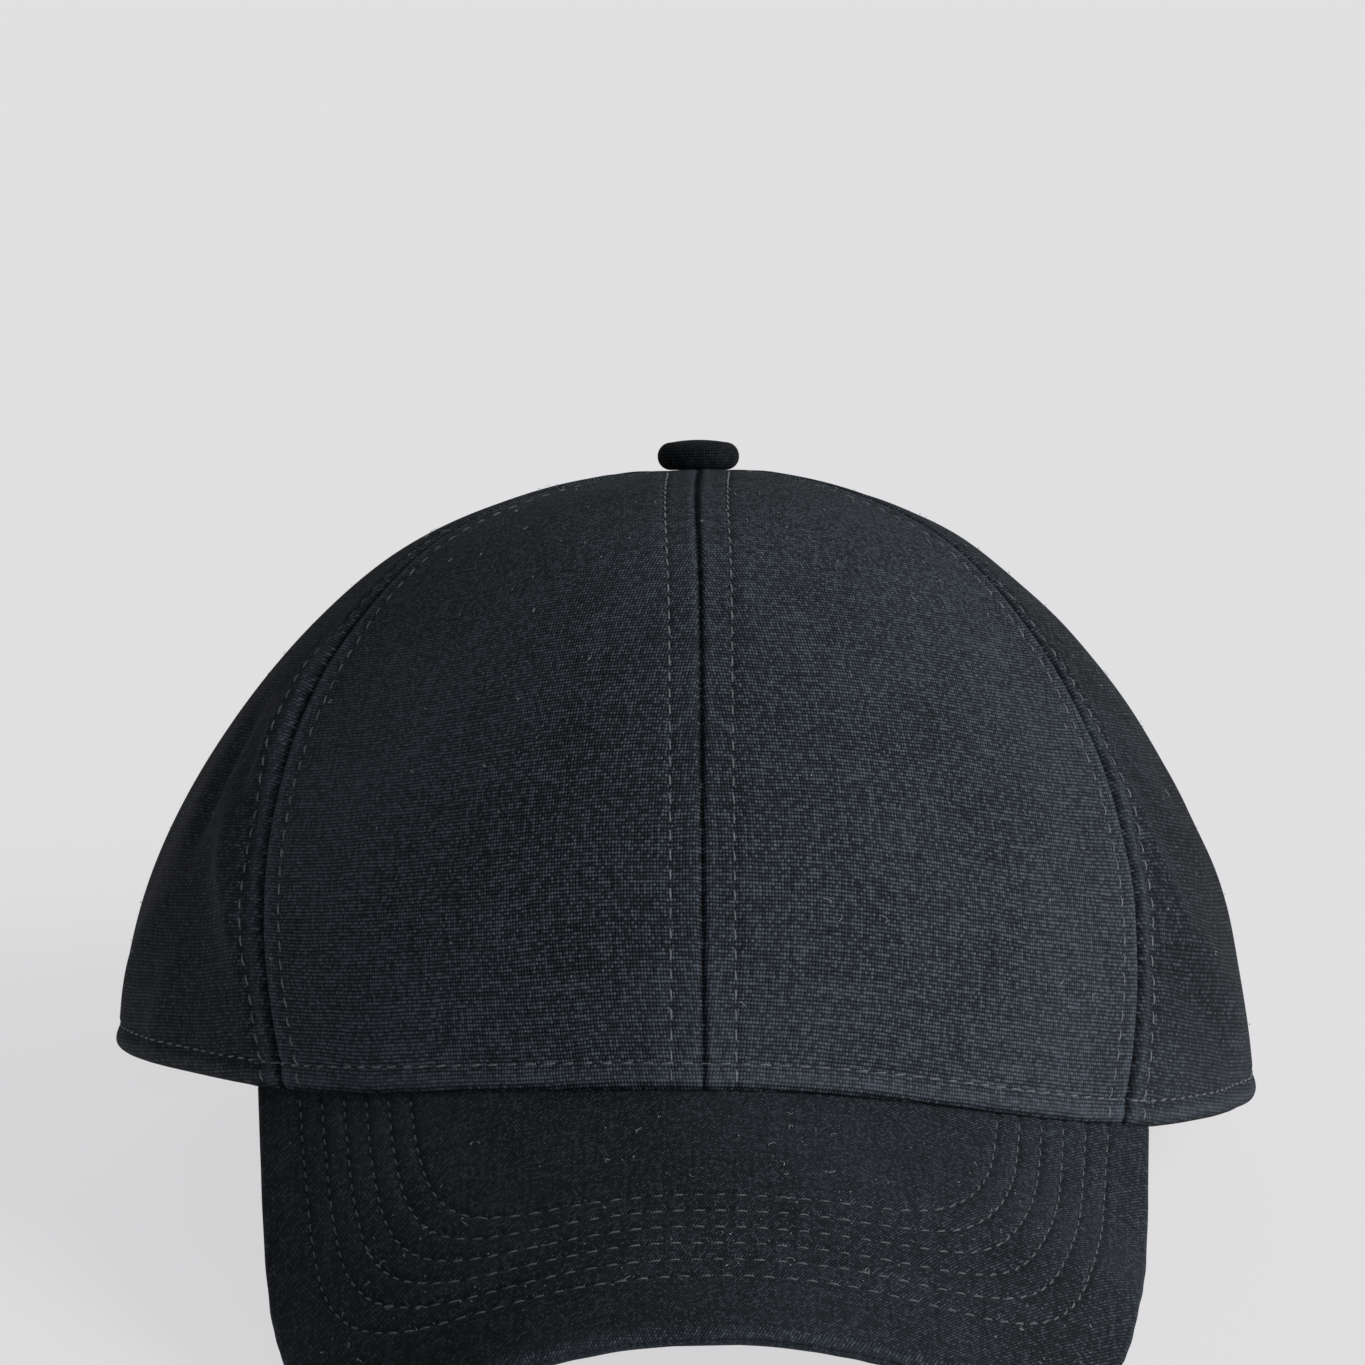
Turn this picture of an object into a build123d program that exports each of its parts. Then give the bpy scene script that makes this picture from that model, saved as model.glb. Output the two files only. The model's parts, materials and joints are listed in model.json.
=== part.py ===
from build123d import *
import math
import os

# A six-panel baseball cap with a curved bill and a strap closure at the back. Units are millimetres.
# It is drawn upright on the crown's own axis: +Z through the button, -Y to the front, +X to the right.
# At the end the whole cap is tipped until it stands on the bill's two tips and the back of its rim.

# ---- crown ----
crown_half_width = 91.5     # outer half width at the rim, also the radius of the back half
crown_front_reach = 105.0   # from the button's axis to the front of the rim
crown_height = 99.0         # rim plane to the top of the crown
side_power = 0.97           # how quickly the sides and back draw in towards the top
front_power = 0.74          # the stiffened front stays fuller
front_squareness = 0.10     # narrows the front corners of the oval
rim_level = 2.3             # height of the rim at the sides
rim_slope = 1.6             # degrees, the rim rises towards the back
wall_bottom = -16.0         # the shells run down to here before they are trimmed
top_angle = 86.0            # latitude of the small flat under the button
ring_points = 32
latitudes = (10.0, 20.0, 30.0, 40.0, 50.0, 60.0, 70.0, 79.0, top_angle)

# ---- layers, measured inwards from the crown's outer surface ----
fabric = 1.0                # outer cloth
layer_gap = 0.05            # between layers sewn or glued to each other
buckram = 0.7               # stiffener behind the front panels
tape = 0.6                  # seam tape
slide_gap = 0.35            # between the strap and whatever it runs past
binding = 0.45              # one thickness of the arch binding
strap_thickness = 0.9
sweatband_thickness = 0.8
label_thickness = 0.3
buckram_out = fabric + layer_gap
buckram_in = buckram_out + buckram
tape_out = buckram_in + layer_gap
tape_in = tape_out + tape
binding_in = fabric + layer_gap + binding
strap_out = binding_in + slide_gap
strap_in = strap_out + strap_thickness
sweatband_out = strap_in + slide_gap
sweatband_in = sweatband_out + sweatband_thickness

# ---- seams ----
seam_gap = 0.10
seam_top_azimuth = 66.0     # front side seam where it leaves the button, from straight ahead
seam_base_turn = 48.0       # and where it meets the rim, as the oval's parameter
rear_seam_azimuth = 118.0
tape_half_width = 6.0
buckram_inset = 1.5
sweatband_height = 32.0

# ---- bill ----
bill_length = 63.0          # along the middle, from the crown
bill_half_width = 70.5
bill_power = 4.6            # squareness of the outline
bill_taper = 0.05           # half width lost per millimetre forward
bill_angle = 30.0           # degrees below the crown's rim plane
bill_radius = 100.0         # bend across the bill where it leaves the crown
bill_tightening = 0.35      # the bend's radius shrinks by this much per mm forward
bill_level = 5.5            # height of the bill's top where it leaves the crown
cover = 0.8                 # cloth over and under the board
board = 1.55
edge_turn = 1.45            # width of the cloth folded round the board's edge

# ---- back arch, strap and buckle ----
arch_half_width = 45.0
arch_height = 46.0
binding_width = 4.5
binding_lip = 0.5
strap_width = 18.0
strap_above_rim = 3.6
strap_half_turn = 45.0      # degrees each side of the back
strap_travel = 12.0         # degrees each way through the buckle
buckle_turn = 15.0          # degrees from the back, towards +X
buckle_wall = 1.2
buckle_plate = 0.8
buckle_side_gap = 0.4
buckle_strap_gap = 0.7
buckle_length = 12.0
pin_radius = 0.9
pin_ahead = 4.0
pin_height = 3.0
bar_ahead = 8.5
bar_height = 3.25
lever_gap = 0.3
lever_wall = 0.9
lever_thickness = 1.0
lever_reach = 13.0
tab_width = 14.0
tab_thickness = 0.7
tab_end_turn = 37.0

# ---- button ----
button_diameter = 13.3
button_height = 4.9
button_cloth = 0.5
rivet_shank = 1.5
rivet_plate = 5.0
rivet_plate_thickness = 0.8
top_hole = 1.9

# ---- blank care label ----
label_width = 20.0
label_height = 28.0
label_turn = 50.0           # degrees from the back, towards -X

apex = Vector(0, 0, crown_height)
alpha = math.radians(bill_angle)


def wall_factor(z, inset):
    """Cosine of the latitude at a height."""
    share = min(max(z, 0.0) / (crown_height - inset), 0.9999)
    return math.sqrt(1 - share * share)


def back_radius(z, inset):
    """Radius of the back half of the crown at a height."""
    return (crown_half_width - inset) * wall_factor(z, inset) ** side_power


def ring(inset, latitude):
    """Points of the crown's oval at a latitude, starting at the left side."""
    c = math.cos(math.radians(latitude))
    half = (crown_half_width - inset) * c ** side_power
    front = (crown_front_reach - inset) * c ** front_power
    points = []
    for i in range(ring_points):
        u = 2 * math.pi * i / ring_points + 1.5 * math.pi
        if math.cos(u) > 0:
            x = half * math.sin(u) * (1 - front_squareness * c * math.cos(u) ** 2)
            y = -front * math.cos(u)
        else:
            x = half * math.sin(u)
            y = -half * math.cos(u)
        points.append((x, y))
    return points


def dome(inset):
    """The crown as a filled solid, its surface lying this far inside the outer cloth."""
    with BuildPart() as filled:
        levels = [(wall_bottom, 0.0), (wall_bottom / 2, 0.0), (0.0, 0.0)]
        for latitude in latitudes:
            height = (crown_height - inset) * math.sin(math.radians(latitude))
            levels.append((height, latitude))
        for height, latitude in levels:
            with BuildSketch(Plane.XY.offset(height)):
                with BuildLine():
                    Spline(*ring(inset, latitude), periodic=True)
                make_face()
        loft()
    return filled.part


def shell(outer, inner):
    """A layer of the crown between two insets, open at the bottom and round the rivet."""
    with BuildPart() as layer:
        add(dome(outer))
        add(dome(inner), mode=Mode.SUBTRACT)
        with BuildSketch(Plane.XY.offset(crown_height + 5)):
            Circle(top_hole)
        extrude(amount=-20, mode=Mode.SUBTRACT)
    return layer.part


def plane_between(origin, along, towards):
    """A plane holding two directions from its origin, its normal on the side of a given point."""
    normal = along[0].cross(along[1])
    if normal.dot(towards - origin) < 0:
        normal = normal * -1
    return Plane(origin=origin, x_dir=along[0], z_dir=normal)


def centre_plane(side):
    """The centre seam's plane, keeping one side."""
    return Plane(origin=(side * seam_gap / 2, 0, 0), x_dir=(0, 1, 0), z_dir=(side, 0, 0))


def front_seam_plane(side, keep_front):
    """The oblique plane of a front side seam."""
    top = math.radians(seam_top_azimuth)
    base = math.radians(seam_base_turn)
    half = crown_half_width * (1 - front_squareness * math.cos(base) ** 2)
    foot = Vector(side * half * math.sin(base), -crown_front_reach * math.cos(base), 0)
    leaving = Vector(side * math.sin(top), -math.cos(top), 0)
    target = Vector(side, -crown_front_reach, 0) if keep_front else Vector(side * 10, crown_half_width, 0)
    return plane_between(apex, (leaving, foot - apex), target)


def upright_plane(side, azimuth, keep_front):
    """A plane through the button's axis at an azimuth from straight ahead."""
    turn = math.radians(azimuth)
    outward = Vector(side * math.sin(turn), -math.cos(turn), 0)
    forward = Vector(side * math.sin(turn - 1), -math.cos(turn - 1), 0)
    backward = Vector(side * math.sin(turn + 1), -math.cos(turn + 1), 0)
    target = forward if keep_front else backward
    return plane_between(Vector(0, 0, 0), (outward, Vector(0, 0, 1)), target)


def rim_plane(raise_by):
    """The rim's plane, keeping what lies above it."""
    slope = math.radians(rim_slope)
    square = (0, -math.sin(slope), math.cos(slope))
    return Plane(origin=(0, 0, rim_level + raise_by), x_dir=(1, 0, 0), z_dir=square)


def bill_section_plane(s):
    """The plane square to the bill's middle line, s ahead of the crown, with Y up out of the bill."""
    origin = (0, bill_root - s * math.cos(alpha), bill_level - s * math.sin(alpha))
    return Plane(origin=origin, x_dir=(1, 0, 0), z_dir=(0, -math.cos(alpha), -math.sin(alpha)))


bill_root = -crown_front_reach * wall_factor(bill_level, 0.0) ** front_power
bill_stations = ((-45.0, 73.0), (bill_length + 4, bill_half_width - 1))


def bend(radius, half, depth):
    """End and middle points of one arc across the bill."""
    r = radius - depth
    x = half * r / radius
    return (-x, -radius + math.sqrt(r * r - x * x)), (0, -depth), (x, -radius + math.sqrt(r * r - x * x))


def bill_layer(top, bottom):
    """The bill's curved sheet between two depths, wider than the bill itself."""
    with BuildPart() as sheet:
        for s, half in bill_stations:
            radius = bill_radius - bill_tightening * s
            upper = bend(radius, half, top)
            lower = bend(radius, half, bottom)
            with BuildSketch(bill_section_plane(s)):
                with BuildLine():
                    ThreePointArc(*upper)
                    Line(upper[2], lower[2])
                    ThreePointArc(*reversed(lower))
                    Line(lower[0], upper[0])
                make_face()
        loft(ruled=True)
    return sheet.part


def below_bill(clearance):
    """Everything under the bill's top surface, for trimming the crown."""
    with BuildPart() as block:
        for s, half in bill_stations:
            radius = bill_radius - bill_tightening * s
            upper = bend(radius, half, -clearance)
            with BuildSketch(bill_section_plane(s)):
                with BuildLine():
                    ThreePointArc(*upper)
                    Polyline(upper[2], (upper[2][0], -130), (upper[0][0], -130), upper[0])
                make_face()
        loft(ruled=True)
    return block.part


def bill_outline(inset):
    """A prism with the bill's outline, square to its middle line."""
    half = bill_half_width - inset
    reach = bill_length - inset
    back = -34.0
    points = []
    steps = 40
    for i in range(steps + 1):
        turn = math.pi * i / steps
        s = back + (reach - back) * abs(math.sin(turn)) ** (2 / bill_power)
        across = abs(math.cos(turn)) ** (2 / bill_power)
        x = math.copysign((half - bill_taper * (s - back)) * across, math.cos(turn))
        points.append((x, -s))
    middle = Plane(
        origin=(0, bill_root, bill_level),
        x_dir=(1, 0, 0),
        z_dir=(0, -math.sin(alpha), math.cos(alpha)),
    )
    with BuildPart() as prism:
        with BuildSketch(middle):
            with BuildLine():
                Spline(*points, tangents=((0, -1), (0, 1)))
                Polyline(points[-1], (-half, 50), (half, 50), points[0])
            make_face()
        extrude(amount=90, both=True)
    return prism.part


def arch_prism(grow):
    """The outline of the back opening, carried straight through the back of the crown."""
    base = rim_level + math.tan(math.radians(rim_slope)) * crown_half_width
    with BuildPart() as prism:
        with BuildSketch(Plane(origin=(0, 40, base), x_dir=(-1, 0, 0), z_dir=(0, 1, 0))):
            Ellipse(arch_half_width + grow, arch_height + grow)
            with Locations((0, -20)):
                Rectangle(2 * (arch_half_width + grow), 40)
        extrude(amount=80)
    return prism.part


def finish(piece, name):
    """Names a finished piece and keeps it for the final placing."""
    piece.part.label = name
    pieces[name] = piece.part


pieces = {}
panel_layer = shell(0.0, fabric)
buckram_layer = shell(buckram_out, buckram_in)
tape_layer = shell(tape_out, tape_in)
sweatband_layer = shell(sweatband_out, sweatband_in)
bill_trim = below_bill(layer_gap)
arch_cut = arch_prism(0.0)
sides = (("left", -1), ("right", 1))


# ---- outer panels ----
def front_panel(name, side):
    with BuildPart() as panel:
        add(panel_layer)
        split(bisect_by=centre_plane(side))
        split(bisect_by=front_seam_plane(side, True).offset(seam_gap / 2))
        split(bisect_by=rim_plane(0))
        add(bill_trim, mode=Mode.SUBTRACT)
    finish(panel, name)


def side_panel(name, side):
    with BuildPart() as panel:
        add(panel_layer)
        split(bisect_by=front_seam_plane(side, False).offset(seam_gap / 2))
        split(bisect_by=upright_plane(side, rear_seam_azimuth, True).offset(seam_gap / 2))
        split(bisect_by=centre_plane(side))
        split(bisect_by=rim_plane(0))
        add(bill_trim, mode=Mode.SUBTRACT)
    finish(panel, name)


def back_panel(name, side):
    with BuildPart() as panel:
        add(panel_layer)
        split(bisect_by=upright_plane(side, rear_seam_azimuth, False).offset(seam_gap / 2))
        split(bisect_by=centre_plane(side))
        split(bisect_by=rim_plane(0))
        add(arch_cut, mode=Mode.SUBTRACT)
    finish(panel, name)


for word, side in sides:
    front_panel("front_panel_" + word, side)
    side_panel("side_panel_" + word, side)
    back_panel("back_panel_" + word, side)


# ---- stiffeners behind the front panels ----
def stiffener(name, side):
    with BuildPart() as sheet:
        add(buckram_layer)
        split(bisect_by=centre_plane(side).offset(buckram_inset))
        split(bisect_by=front_seam_plane(side, True).offset(buckram_inset))
        add(bill_trim, mode=Mode.SUBTRACT)
        split(bisect_by=rim_plane(0.5))
    finish(sheet, name)


for word, side in sides:
    stiffener("buckram_" + word, side)


# ---- seam tapes ----
def tape_strip(name, seam, limits, arch=False):
    facing_away = Plane(origin=seam.origin, x_dir=seam.x_dir, z_dir=seam.z_dir * -1)
    with BuildPart() as strip:
        add(tape_layer)
        split(bisect_by=seam.offset(-tape_half_width))
        split(bisect_by=facing_away.offset(-tape_half_width))
        for limit in limits:
            split(bisect_by=limit.offset(layer_gap))
        split(bisect_by=rim_plane(0.5))
        add(bill_trim, mode=Mode.SUBTRACT)
        if arch:
            add(arch_prism(binding_width + layer_gap), mode=Mode.SUBTRACT)
    finish(strip, name)


front_bisector = seam_top_azimuth / 2
side_bisector = (seam_top_azimuth + rear_seam_azimuth) / 2
rear_bisector = (rear_seam_azimuth + 180) / 2
tape_strip(
    "seam_tape_front",
    Plane(origin=(0, 0, 0), x_dir=(0, 1, 0), z_dir=(1, 0, 0)),
    [upright_plane(-1, front_bisector, True), upright_plane(1, front_bisector, True)],
)
tape_strip(
    "seam_tape_back",
    Plane(origin=(0, 0, 0), x_dir=(0, 1, 0), z_dir=(1, 0, 0)),
    [upright_plane(-1, rear_bisector, False), upright_plane(1, rear_bisector, False)],
    True,
)
for word, side in sides:
    tape_strip(
        "seam_tape_side_" + word,
        front_seam_plane(side, True),
        [upright_plane(side, front_bisector, False), upright_plane(side, side_bisector, True)],
    )
    tape_strip(
        "seam_tape_rear_" + word,
        upright_plane(side, rear_seam_azimuth, True),
        [upright_plane(side, side_bisector, False), upright_plane(side, rear_bisector, True)],
    )

# ---- sweatband ----
with BuildPart() as sweatband:
    add(sweatband_layer)
    split(bisect_by=rim_plane(0))
    split(bisect_by=Plane.XY.offset(sweatband_height + rim_level), keep=Keep.BOTTOM)
    add(arch_prism(1.0), mode=Mode.SUBTRACT)
finish(sweatband, "sweatband")

# ---- bill: board between two cloth covers, its back edge under the crown's edge ----
bill_back = dome(tape_in + layer_gap)
board_top = cover + layer_gap
board_bottom = board_top + board
under_top = board_bottom + layer_gap

with BuildPart() as bill_board:
    add(bill_layer(board_top, board_bottom))
    add(bill_outline(edge_turn + layer_gap), mode=Mode.INTERSECT)
    add(bill_back, mode=Mode.SUBTRACT)
finish(bill_board, "bill_board")

with BuildPart() as hollow:
    add(bill_layer(cover, under_top + cover))
    add(bill_outline(edge_turn), mode=Mode.INTERSECT)

with BuildPart() as bill_top_cover:
    add(bill_layer(0.0, board_bottom))
    add(bill_outline(0.0), mode=Mode.INTERSECT)
    add(hollow.part, mode=Mode.SUBTRACT)
    add(bill_back, mode=Mode.SUBTRACT)
finish(bill_top_cover, "bill_top_cover")

with BuildPart() as bill_under_cover:
    add(bill_layer(under_top, under_top + cover))
    add(bill_outline(0.0), mode=Mode.INTERSECT)
    add(bill_back, mode=Mode.SUBTRACT)
finish(bill_under_cover, "bill_under_cover")

# ---- button on top of the crown ----
button_base = crown_height * math.sin(math.radians(top_angle)) + layer_gap
button_radius = button_diameter / 2


def pill(radius, bottom, height):
    """Half profile of a flat, round-edged button."""
    edge = height * 0.46
    with BuildPart() as solid:
        with BuildSketch(Plane.XZ):
            with BuildLine():
                Line((0, bottom), (radius - edge, bottom))
                ThreePointArc(
                    (radius - edge, bottom),
                    (radius, bottom + edge),
                    (radius - edge, bottom + 2 * edge),
                )
                Spline(
                    (radius - edge, bottom + 2 * edge),
                    (0, bottom + height),
                    tangents=((-1, 0), (-1, 0)),
                )
                Line((0, bottom + height), (0, bottom))
            make_face()
        revolve(axis=Axis.Z)
    return solid.part


with BuildPart() as button_cover:
    add(pill(button_radius, button_base, button_height))
    add(
        pill(button_radius - button_cloth, button_base + button_cloth, button_height - 2 * button_cloth),
        mode=Mode.SUBTRACT,
    )
    with BuildSketch(Plane.XY.offset(button_base - 1)):
        Circle(button_radius - 2.6)
    extrude(amount=1 + button_cloth * 1.5, mode=Mode.SUBTRACT)
finish(button_cover, "button_cover")

shell_inset = button_cloth + layer_gap
with BuildPart() as button_shell:
    add(pill(button_radius - shell_inset, button_base + shell_inset, button_height - 2 * shell_inset))
    with BuildSketch(Plane.XY.offset(button_base)):
        Circle(rivet_shank + layer_gap)
    extrude(amount=button_height / 2 + layer_gap, mode=Mode.SUBTRACT)
finish(button_shell, "button_shell")

rivet_top = (crown_height - tape_in) * math.sin(math.radians(top_angle)) - layer_gap
rivet_bottom = rivet_top - rivet_plate_thickness
with BuildPart() as button_rivet:
    with BuildSketch(Plane.XY.offset(rivet_bottom)):
        Circle(rivet_plate)
    extrude(amount=rivet_plate_thickness)
    with BuildSketch(Plane.XY.offset(rivet_bottom)):
        Circle(rivet_shank)
    extrude(amount=button_base + button_height / 2 - rivet_bottom)
    chamfer(button_rivet.edges().filter_by(GeomType.CIRCLE).sort_by(Axis.Z)[0], 0.3)
finish(button_rivet, "button_rivet")


# ---- binding folded round the edge of the back arch ----
with BuildPart() as kept_panel:
    add(dome(-layer_gap))
    add(dome(fabric + layer_gap), mode=Mode.SUBTRACT)
    add(arch_prism(-layer_gap), mode=Mode.SUBTRACT)

with BuildPart() as arch_binding:
    add(dome(-layer_gap - binding))
    add(dome(binding_in), mode=Mode.SUBTRACT)
    add(arch_prism(binding_width), mode=Mode.INTERSECT)
    add(arch_prism(-binding_lip), mode=Mode.SUBTRACT)
    add(kept_panel.part, mode=Mode.SUBTRACT)
    split(bisect_by=rim_plane(0))
finish(arch_binding, "arch_binding")


def band(low, high, outer, inner, start, sweep):
    """A strip of the crown's round back between two heights and insets, turned about the crown's axis."""
    turn = math.radians(start)
    middle = (low + high) / 2
    section = Plane(
        origin=(0, 0, 0),
        x_dir=(math.cos(turn), math.sin(turn), 0),
        z_dir=(math.sin(turn), -math.cos(turn), 0),
    )
    with BuildPart() as strip:
        with BuildSketch(section):
            with BuildLine():
                ThreePointArc(*[(back_radius(z, outer), z) for z in (low, middle, high)])
                Line((back_radius(high, outer), high), (back_radius(high, inner), high))
                ThreePointArc(*[(back_radius(z, inner), z) for z in (high, middle, low)])
                Line((back_radius(low, inner), low), (back_radius(low, outer), low))
            make_face()
        revolve(axis=Axis.Z, revolution_arc=sweep)
    return strip.part


# ---- strap, its two ends tucked between the back panels and the sweatband ----
rim_back = rim_level + math.tan(math.radians(rim_slope)) * crown_half_width
strap_low = rim_back + strap_above_rim
strap_high = strap_low + strap_width
strap_middle = (strap_low + strap_high) / 2
with BuildPart() as strap:
    add(band(strap_low, strap_high, strap_out, strap_in, 90 - strap_half_turn, 2 * strap_half_turn))
finish(strap, "strap")

# ---- buckle: frame with a back plate, two walls and a bar; lever turning on a pin ----
strap_mid_inset = (strap_out + strap_in) / 2
rise = back_radius(strap_high, strap_mid_inset) - back_radius(strap_low, strap_mid_inset)
lean = math.atan2(-rise, strap_width)
azimuth = math.radians(90 - buckle_turn)
radial = Vector(math.cos(azimuth), math.sin(azimuth), 0)
tangent = Vector(math.sin(azimuth), -math.cos(azimuth), 0)
upward = Vector(0, 0, math.cos(lean)) - radial * math.sin(lean)
buckle_centre = radial * back_radius(strap_middle, strap_mid_inset) + Vector(0, 0, strap_middle)
buckle_plane = Plane(origin=buckle_centre, x_dir=tangent, z_dir=upward)
inner_half = strap_width / 2 + buckle_side_gap
outer_half = inner_half + buckle_wall
plate_top = -strap_thickness / 2 - buckle_strap_gap
plate_bottom = plate_top - buckle_plate
wall_top = bar_height + pin_radius + 0.4
wall_back = bar_ahead + pin_radius + 0.6

with BuildPart() as buckle_frame:
    for start in (inner_half, -outer_half):
        with BuildSketch(buckle_plane.offset(start)):
            with BuildLine():
                Polyline(
                    (-buckle_length / 2, plate_bottom),
                    (buckle_length / 2 + 1, plate_bottom),
                    (wall_back, bar_height - 1.5),
                    (wall_back, wall_top),
                    (pin_ahead - 2, wall_top),
                    (-buckle_length / 2, plate_top + 1.5),
                    (-buckle_length / 2, plate_bottom),
                )
            make_face()
            with Locations((pin_ahead, pin_height)):
                Circle(pin_radius + layer_gap, mode=Mode.SUBTRACT)
        extrude(amount=buckle_wall)
    with BuildSketch(buckle_plane.offset(-outer_half)):
        with Locations((0, (plate_top + plate_bottom) / 2)):
            Rectangle(buckle_length, buckle_plate)
        with Locations((bar_ahead, bar_height)):
            Circle(pin_radius)
    extrude(amount=2 * outer_half)
finish(buckle_frame, "buckle_frame")

with BuildPart() as buckle_pin:
    with BuildSketch(buckle_plane.offset(-outer_half - 0.2)):
        with Locations((pin_ahead, pin_height)):
            Circle(pin_radius)
    extrude(amount=2 * outer_half + 0.4)
finish(buckle_pin, "buckle_pin")

barrel_hole = pin_radius + lever_gap
barrel_radius = barrel_hole + lever_wall
lever_half = inner_half - lever_gap
with BuildPart() as buckle_lever:
    with BuildSketch(buckle_plane.offset(-lever_half)):
        with BuildLine():
            Polyline(
                (pin_ahead, pin_height + barrel_radius),
                (pin_ahead - lever_reach, pin_height + barrel_radius),
                (pin_ahead - lever_reach, pin_height + barrel_radius - lever_thickness),
                (pin_ahead, pin_height + barrel_radius - lever_thickness),
                (pin_ahead, pin_height + barrel_radius),
            )
        make_face()
        with Locations((pin_ahead, pin_height)):
            Circle(barrel_radius)
            Circle(barrel_hole, mode=Mode.SUBTRACT)
    extrude(amount=2 * lever_half)
    upright_edges = buckle_lever.edges().filter_by(Axis(buckle_centre, buckle_plane.y_dir))
    fillet(upright_edges.sort_by(Axis(buckle_centre, buckle_plane.x_dir))[:2], 2.0)
finish(buckle_lever, "buckle_lever")

# ---- cloth tab that holds the buckle to the edge of the arch ----
loop_hole = pin_radius + layer_gap
loop_radius = loop_hole + tab_thickness
tab_out = -layer_gap - binding - layer_gap - tab_thickness
tab_start = buckle_turn + math.degrees(math.atan2(bar_ahead + loop_hole + 0.2, buckle_centre.length))
with BuildPart() as buckle_tab:
    add(
        band(
            strap_middle - tab_width / 2,
            strap_middle + tab_width / 2,
            tab_out,
            tab_out + tab_thickness,
            90 - tab_end_turn,
            tab_end_turn - tab_start,
        )
    )
    with BuildSketch(buckle_plane.offset(-tab_width / 2)):
        with Locations((bar_ahead, bar_height)):
            Circle(loop_radius)
    extrude(amount=tab_width)
    with BuildSketch(buckle_plane.offset(-tab_width)):
        with Locations((bar_ahead, bar_height)):
            Circle(loop_hole)
    extrude(amount=2 * tab_width, mode=Mode.SUBTRACT)
finish(buckle_tab, "buckle_tab")

# ---- blank care label inside the sweatband ----
label_sweep = math.degrees(label_width / crown_half_width)
with BuildPart() as care_label:
    add(
        band(
            rim_back + 1.5,
            rim_back + 1.5 + label_height,
            sweatband_in + layer_gap,
            sweatband_in + layer_gap + label_thickness,
            90 + label_turn,
            label_sweep,
        )
    )
finish(care_label, "care_label")


# ---- tip the cap until the bill's tips and the back of the rim share one level, then centre it ----
def samples(names):
    points = []
    for name in names:
        points.extend(pieces[name].tessellate(0.05)[0])
    return points


def lowest(points, tilt):
    return min(p.Y * math.sin(tilt) + p.Z * math.cos(tilt) for p in points)


bill_points = samples(["bill_under_cover", "bill_top_cover"])
back_edges = ["back_panel_left", "back_panel_right", "side_panel_left", "side_panel_right"]
rim_points = samples(back_edges + ["sweatband"])
low, high = math.radians(-40), 0.0
for _ in range(40):
    tilt = (low + high) / 2
    if lowest(bill_points, tilt) < lowest(rim_points, tilt):
        high = tilt
    else:
        low = tilt
tilt = (low + high) / 2

turned = Location((0, 0, 0), (math.degrees(tilt), 0, 0))
boxes = [(turned * piece).bounding_box() for piece in pieces.values()]
shift = Vector(
    -(min(b.min.X for b in boxes) + max(b.max.X for b in boxes)) / 2,
    -(min(b.min.Y for b in boxes) + max(b.max.Y for b in boxes)) / 2,
    -lowest(bill_points, tilt),
)
placed = Location(shift) * turned

os.makedirs("parts", exist_ok=True)
for name, piece in pieces.items():
    final = placed * piece
    final.label = name
    export_step(final, "parts/" + name + ".step")

# ---- where things ended up, for the parts list ----
axis_up = (placed * Plane.XY).z_dir
lever_axis = (upward * -1).normalized().rotate(Axis.X, math.degrees(tilt))
pin_point = (placed * Location(buckle_plane.from_local_coords((pin_ahead, pin_height, 0)))).position
crown_base = (placed * Location((0, 0, strap_middle))).position
print("tilt", math.degrees(tilt), "shift", tuple(shift))
print("crown axis", tuple(axis_up), "point", tuple(crown_base))
print("lever axis", tuple(lever_axis), "point", tuple(pin_point))
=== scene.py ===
import json
import math
from math import cos, pi, radians, sin

import bpy
import numpy as np
from mathutils import Matrix, Vector


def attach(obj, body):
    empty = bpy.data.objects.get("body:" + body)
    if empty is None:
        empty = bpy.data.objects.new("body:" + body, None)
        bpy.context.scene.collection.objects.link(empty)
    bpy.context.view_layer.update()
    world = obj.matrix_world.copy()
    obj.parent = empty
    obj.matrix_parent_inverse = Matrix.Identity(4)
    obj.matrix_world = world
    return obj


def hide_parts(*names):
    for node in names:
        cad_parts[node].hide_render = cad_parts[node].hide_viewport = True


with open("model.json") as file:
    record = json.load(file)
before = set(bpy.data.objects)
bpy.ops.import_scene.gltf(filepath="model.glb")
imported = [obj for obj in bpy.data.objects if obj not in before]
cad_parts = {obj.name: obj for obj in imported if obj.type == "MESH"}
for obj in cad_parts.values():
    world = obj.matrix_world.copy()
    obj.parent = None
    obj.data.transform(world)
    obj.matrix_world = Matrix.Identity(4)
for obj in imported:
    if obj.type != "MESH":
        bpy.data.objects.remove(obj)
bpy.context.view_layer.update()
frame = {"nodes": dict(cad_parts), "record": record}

rng = np.random.default_rng(7)

# ---------------------------------------------------------------- the cap's own sizes, millimetres
HALF, FRONT, TOP = 91.5, 105.0, 99.0          # crown half width, reach to the front, height
SIDE_POWER, FRONT_POWER, SQUARE = 0.97, 0.74, 0.10   # how full its sides, front and front corners are
RIM, RIM_SLOPE = 2.3, radians(1.6)       # height and slope of its lower edge
BILL_LENGTH, BILL_HALF, BILL_POWER, BILL_TAPER = 63.0, 70.5, 4.6, 0.05
ALPHA = radians(30.0)                    # how steeply the bill slopes down
BEND, TIGHTEN, BILL_LEVEL = 100.0, 0.35, 5.5  # its bend radius, how that shrinks forward, its root's height
BILL_THICK = 3.3
SC = -34.0                                    # where its outline's and rows' curves start
SEAM_TOP, SEAM_BASE, SEAM_REAR = radians(66), radians(48), radians(118)
ARCH_HALF, ARCH_HEIGHT = 45.0, 46.0
ZB = RIM + math.tan(RIM_SLOPE) * HALF
STRAP_LOW, STRAP_WIDTH, STRAP_INSET = ZB + 3.6, 18.0, 2.3
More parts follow.
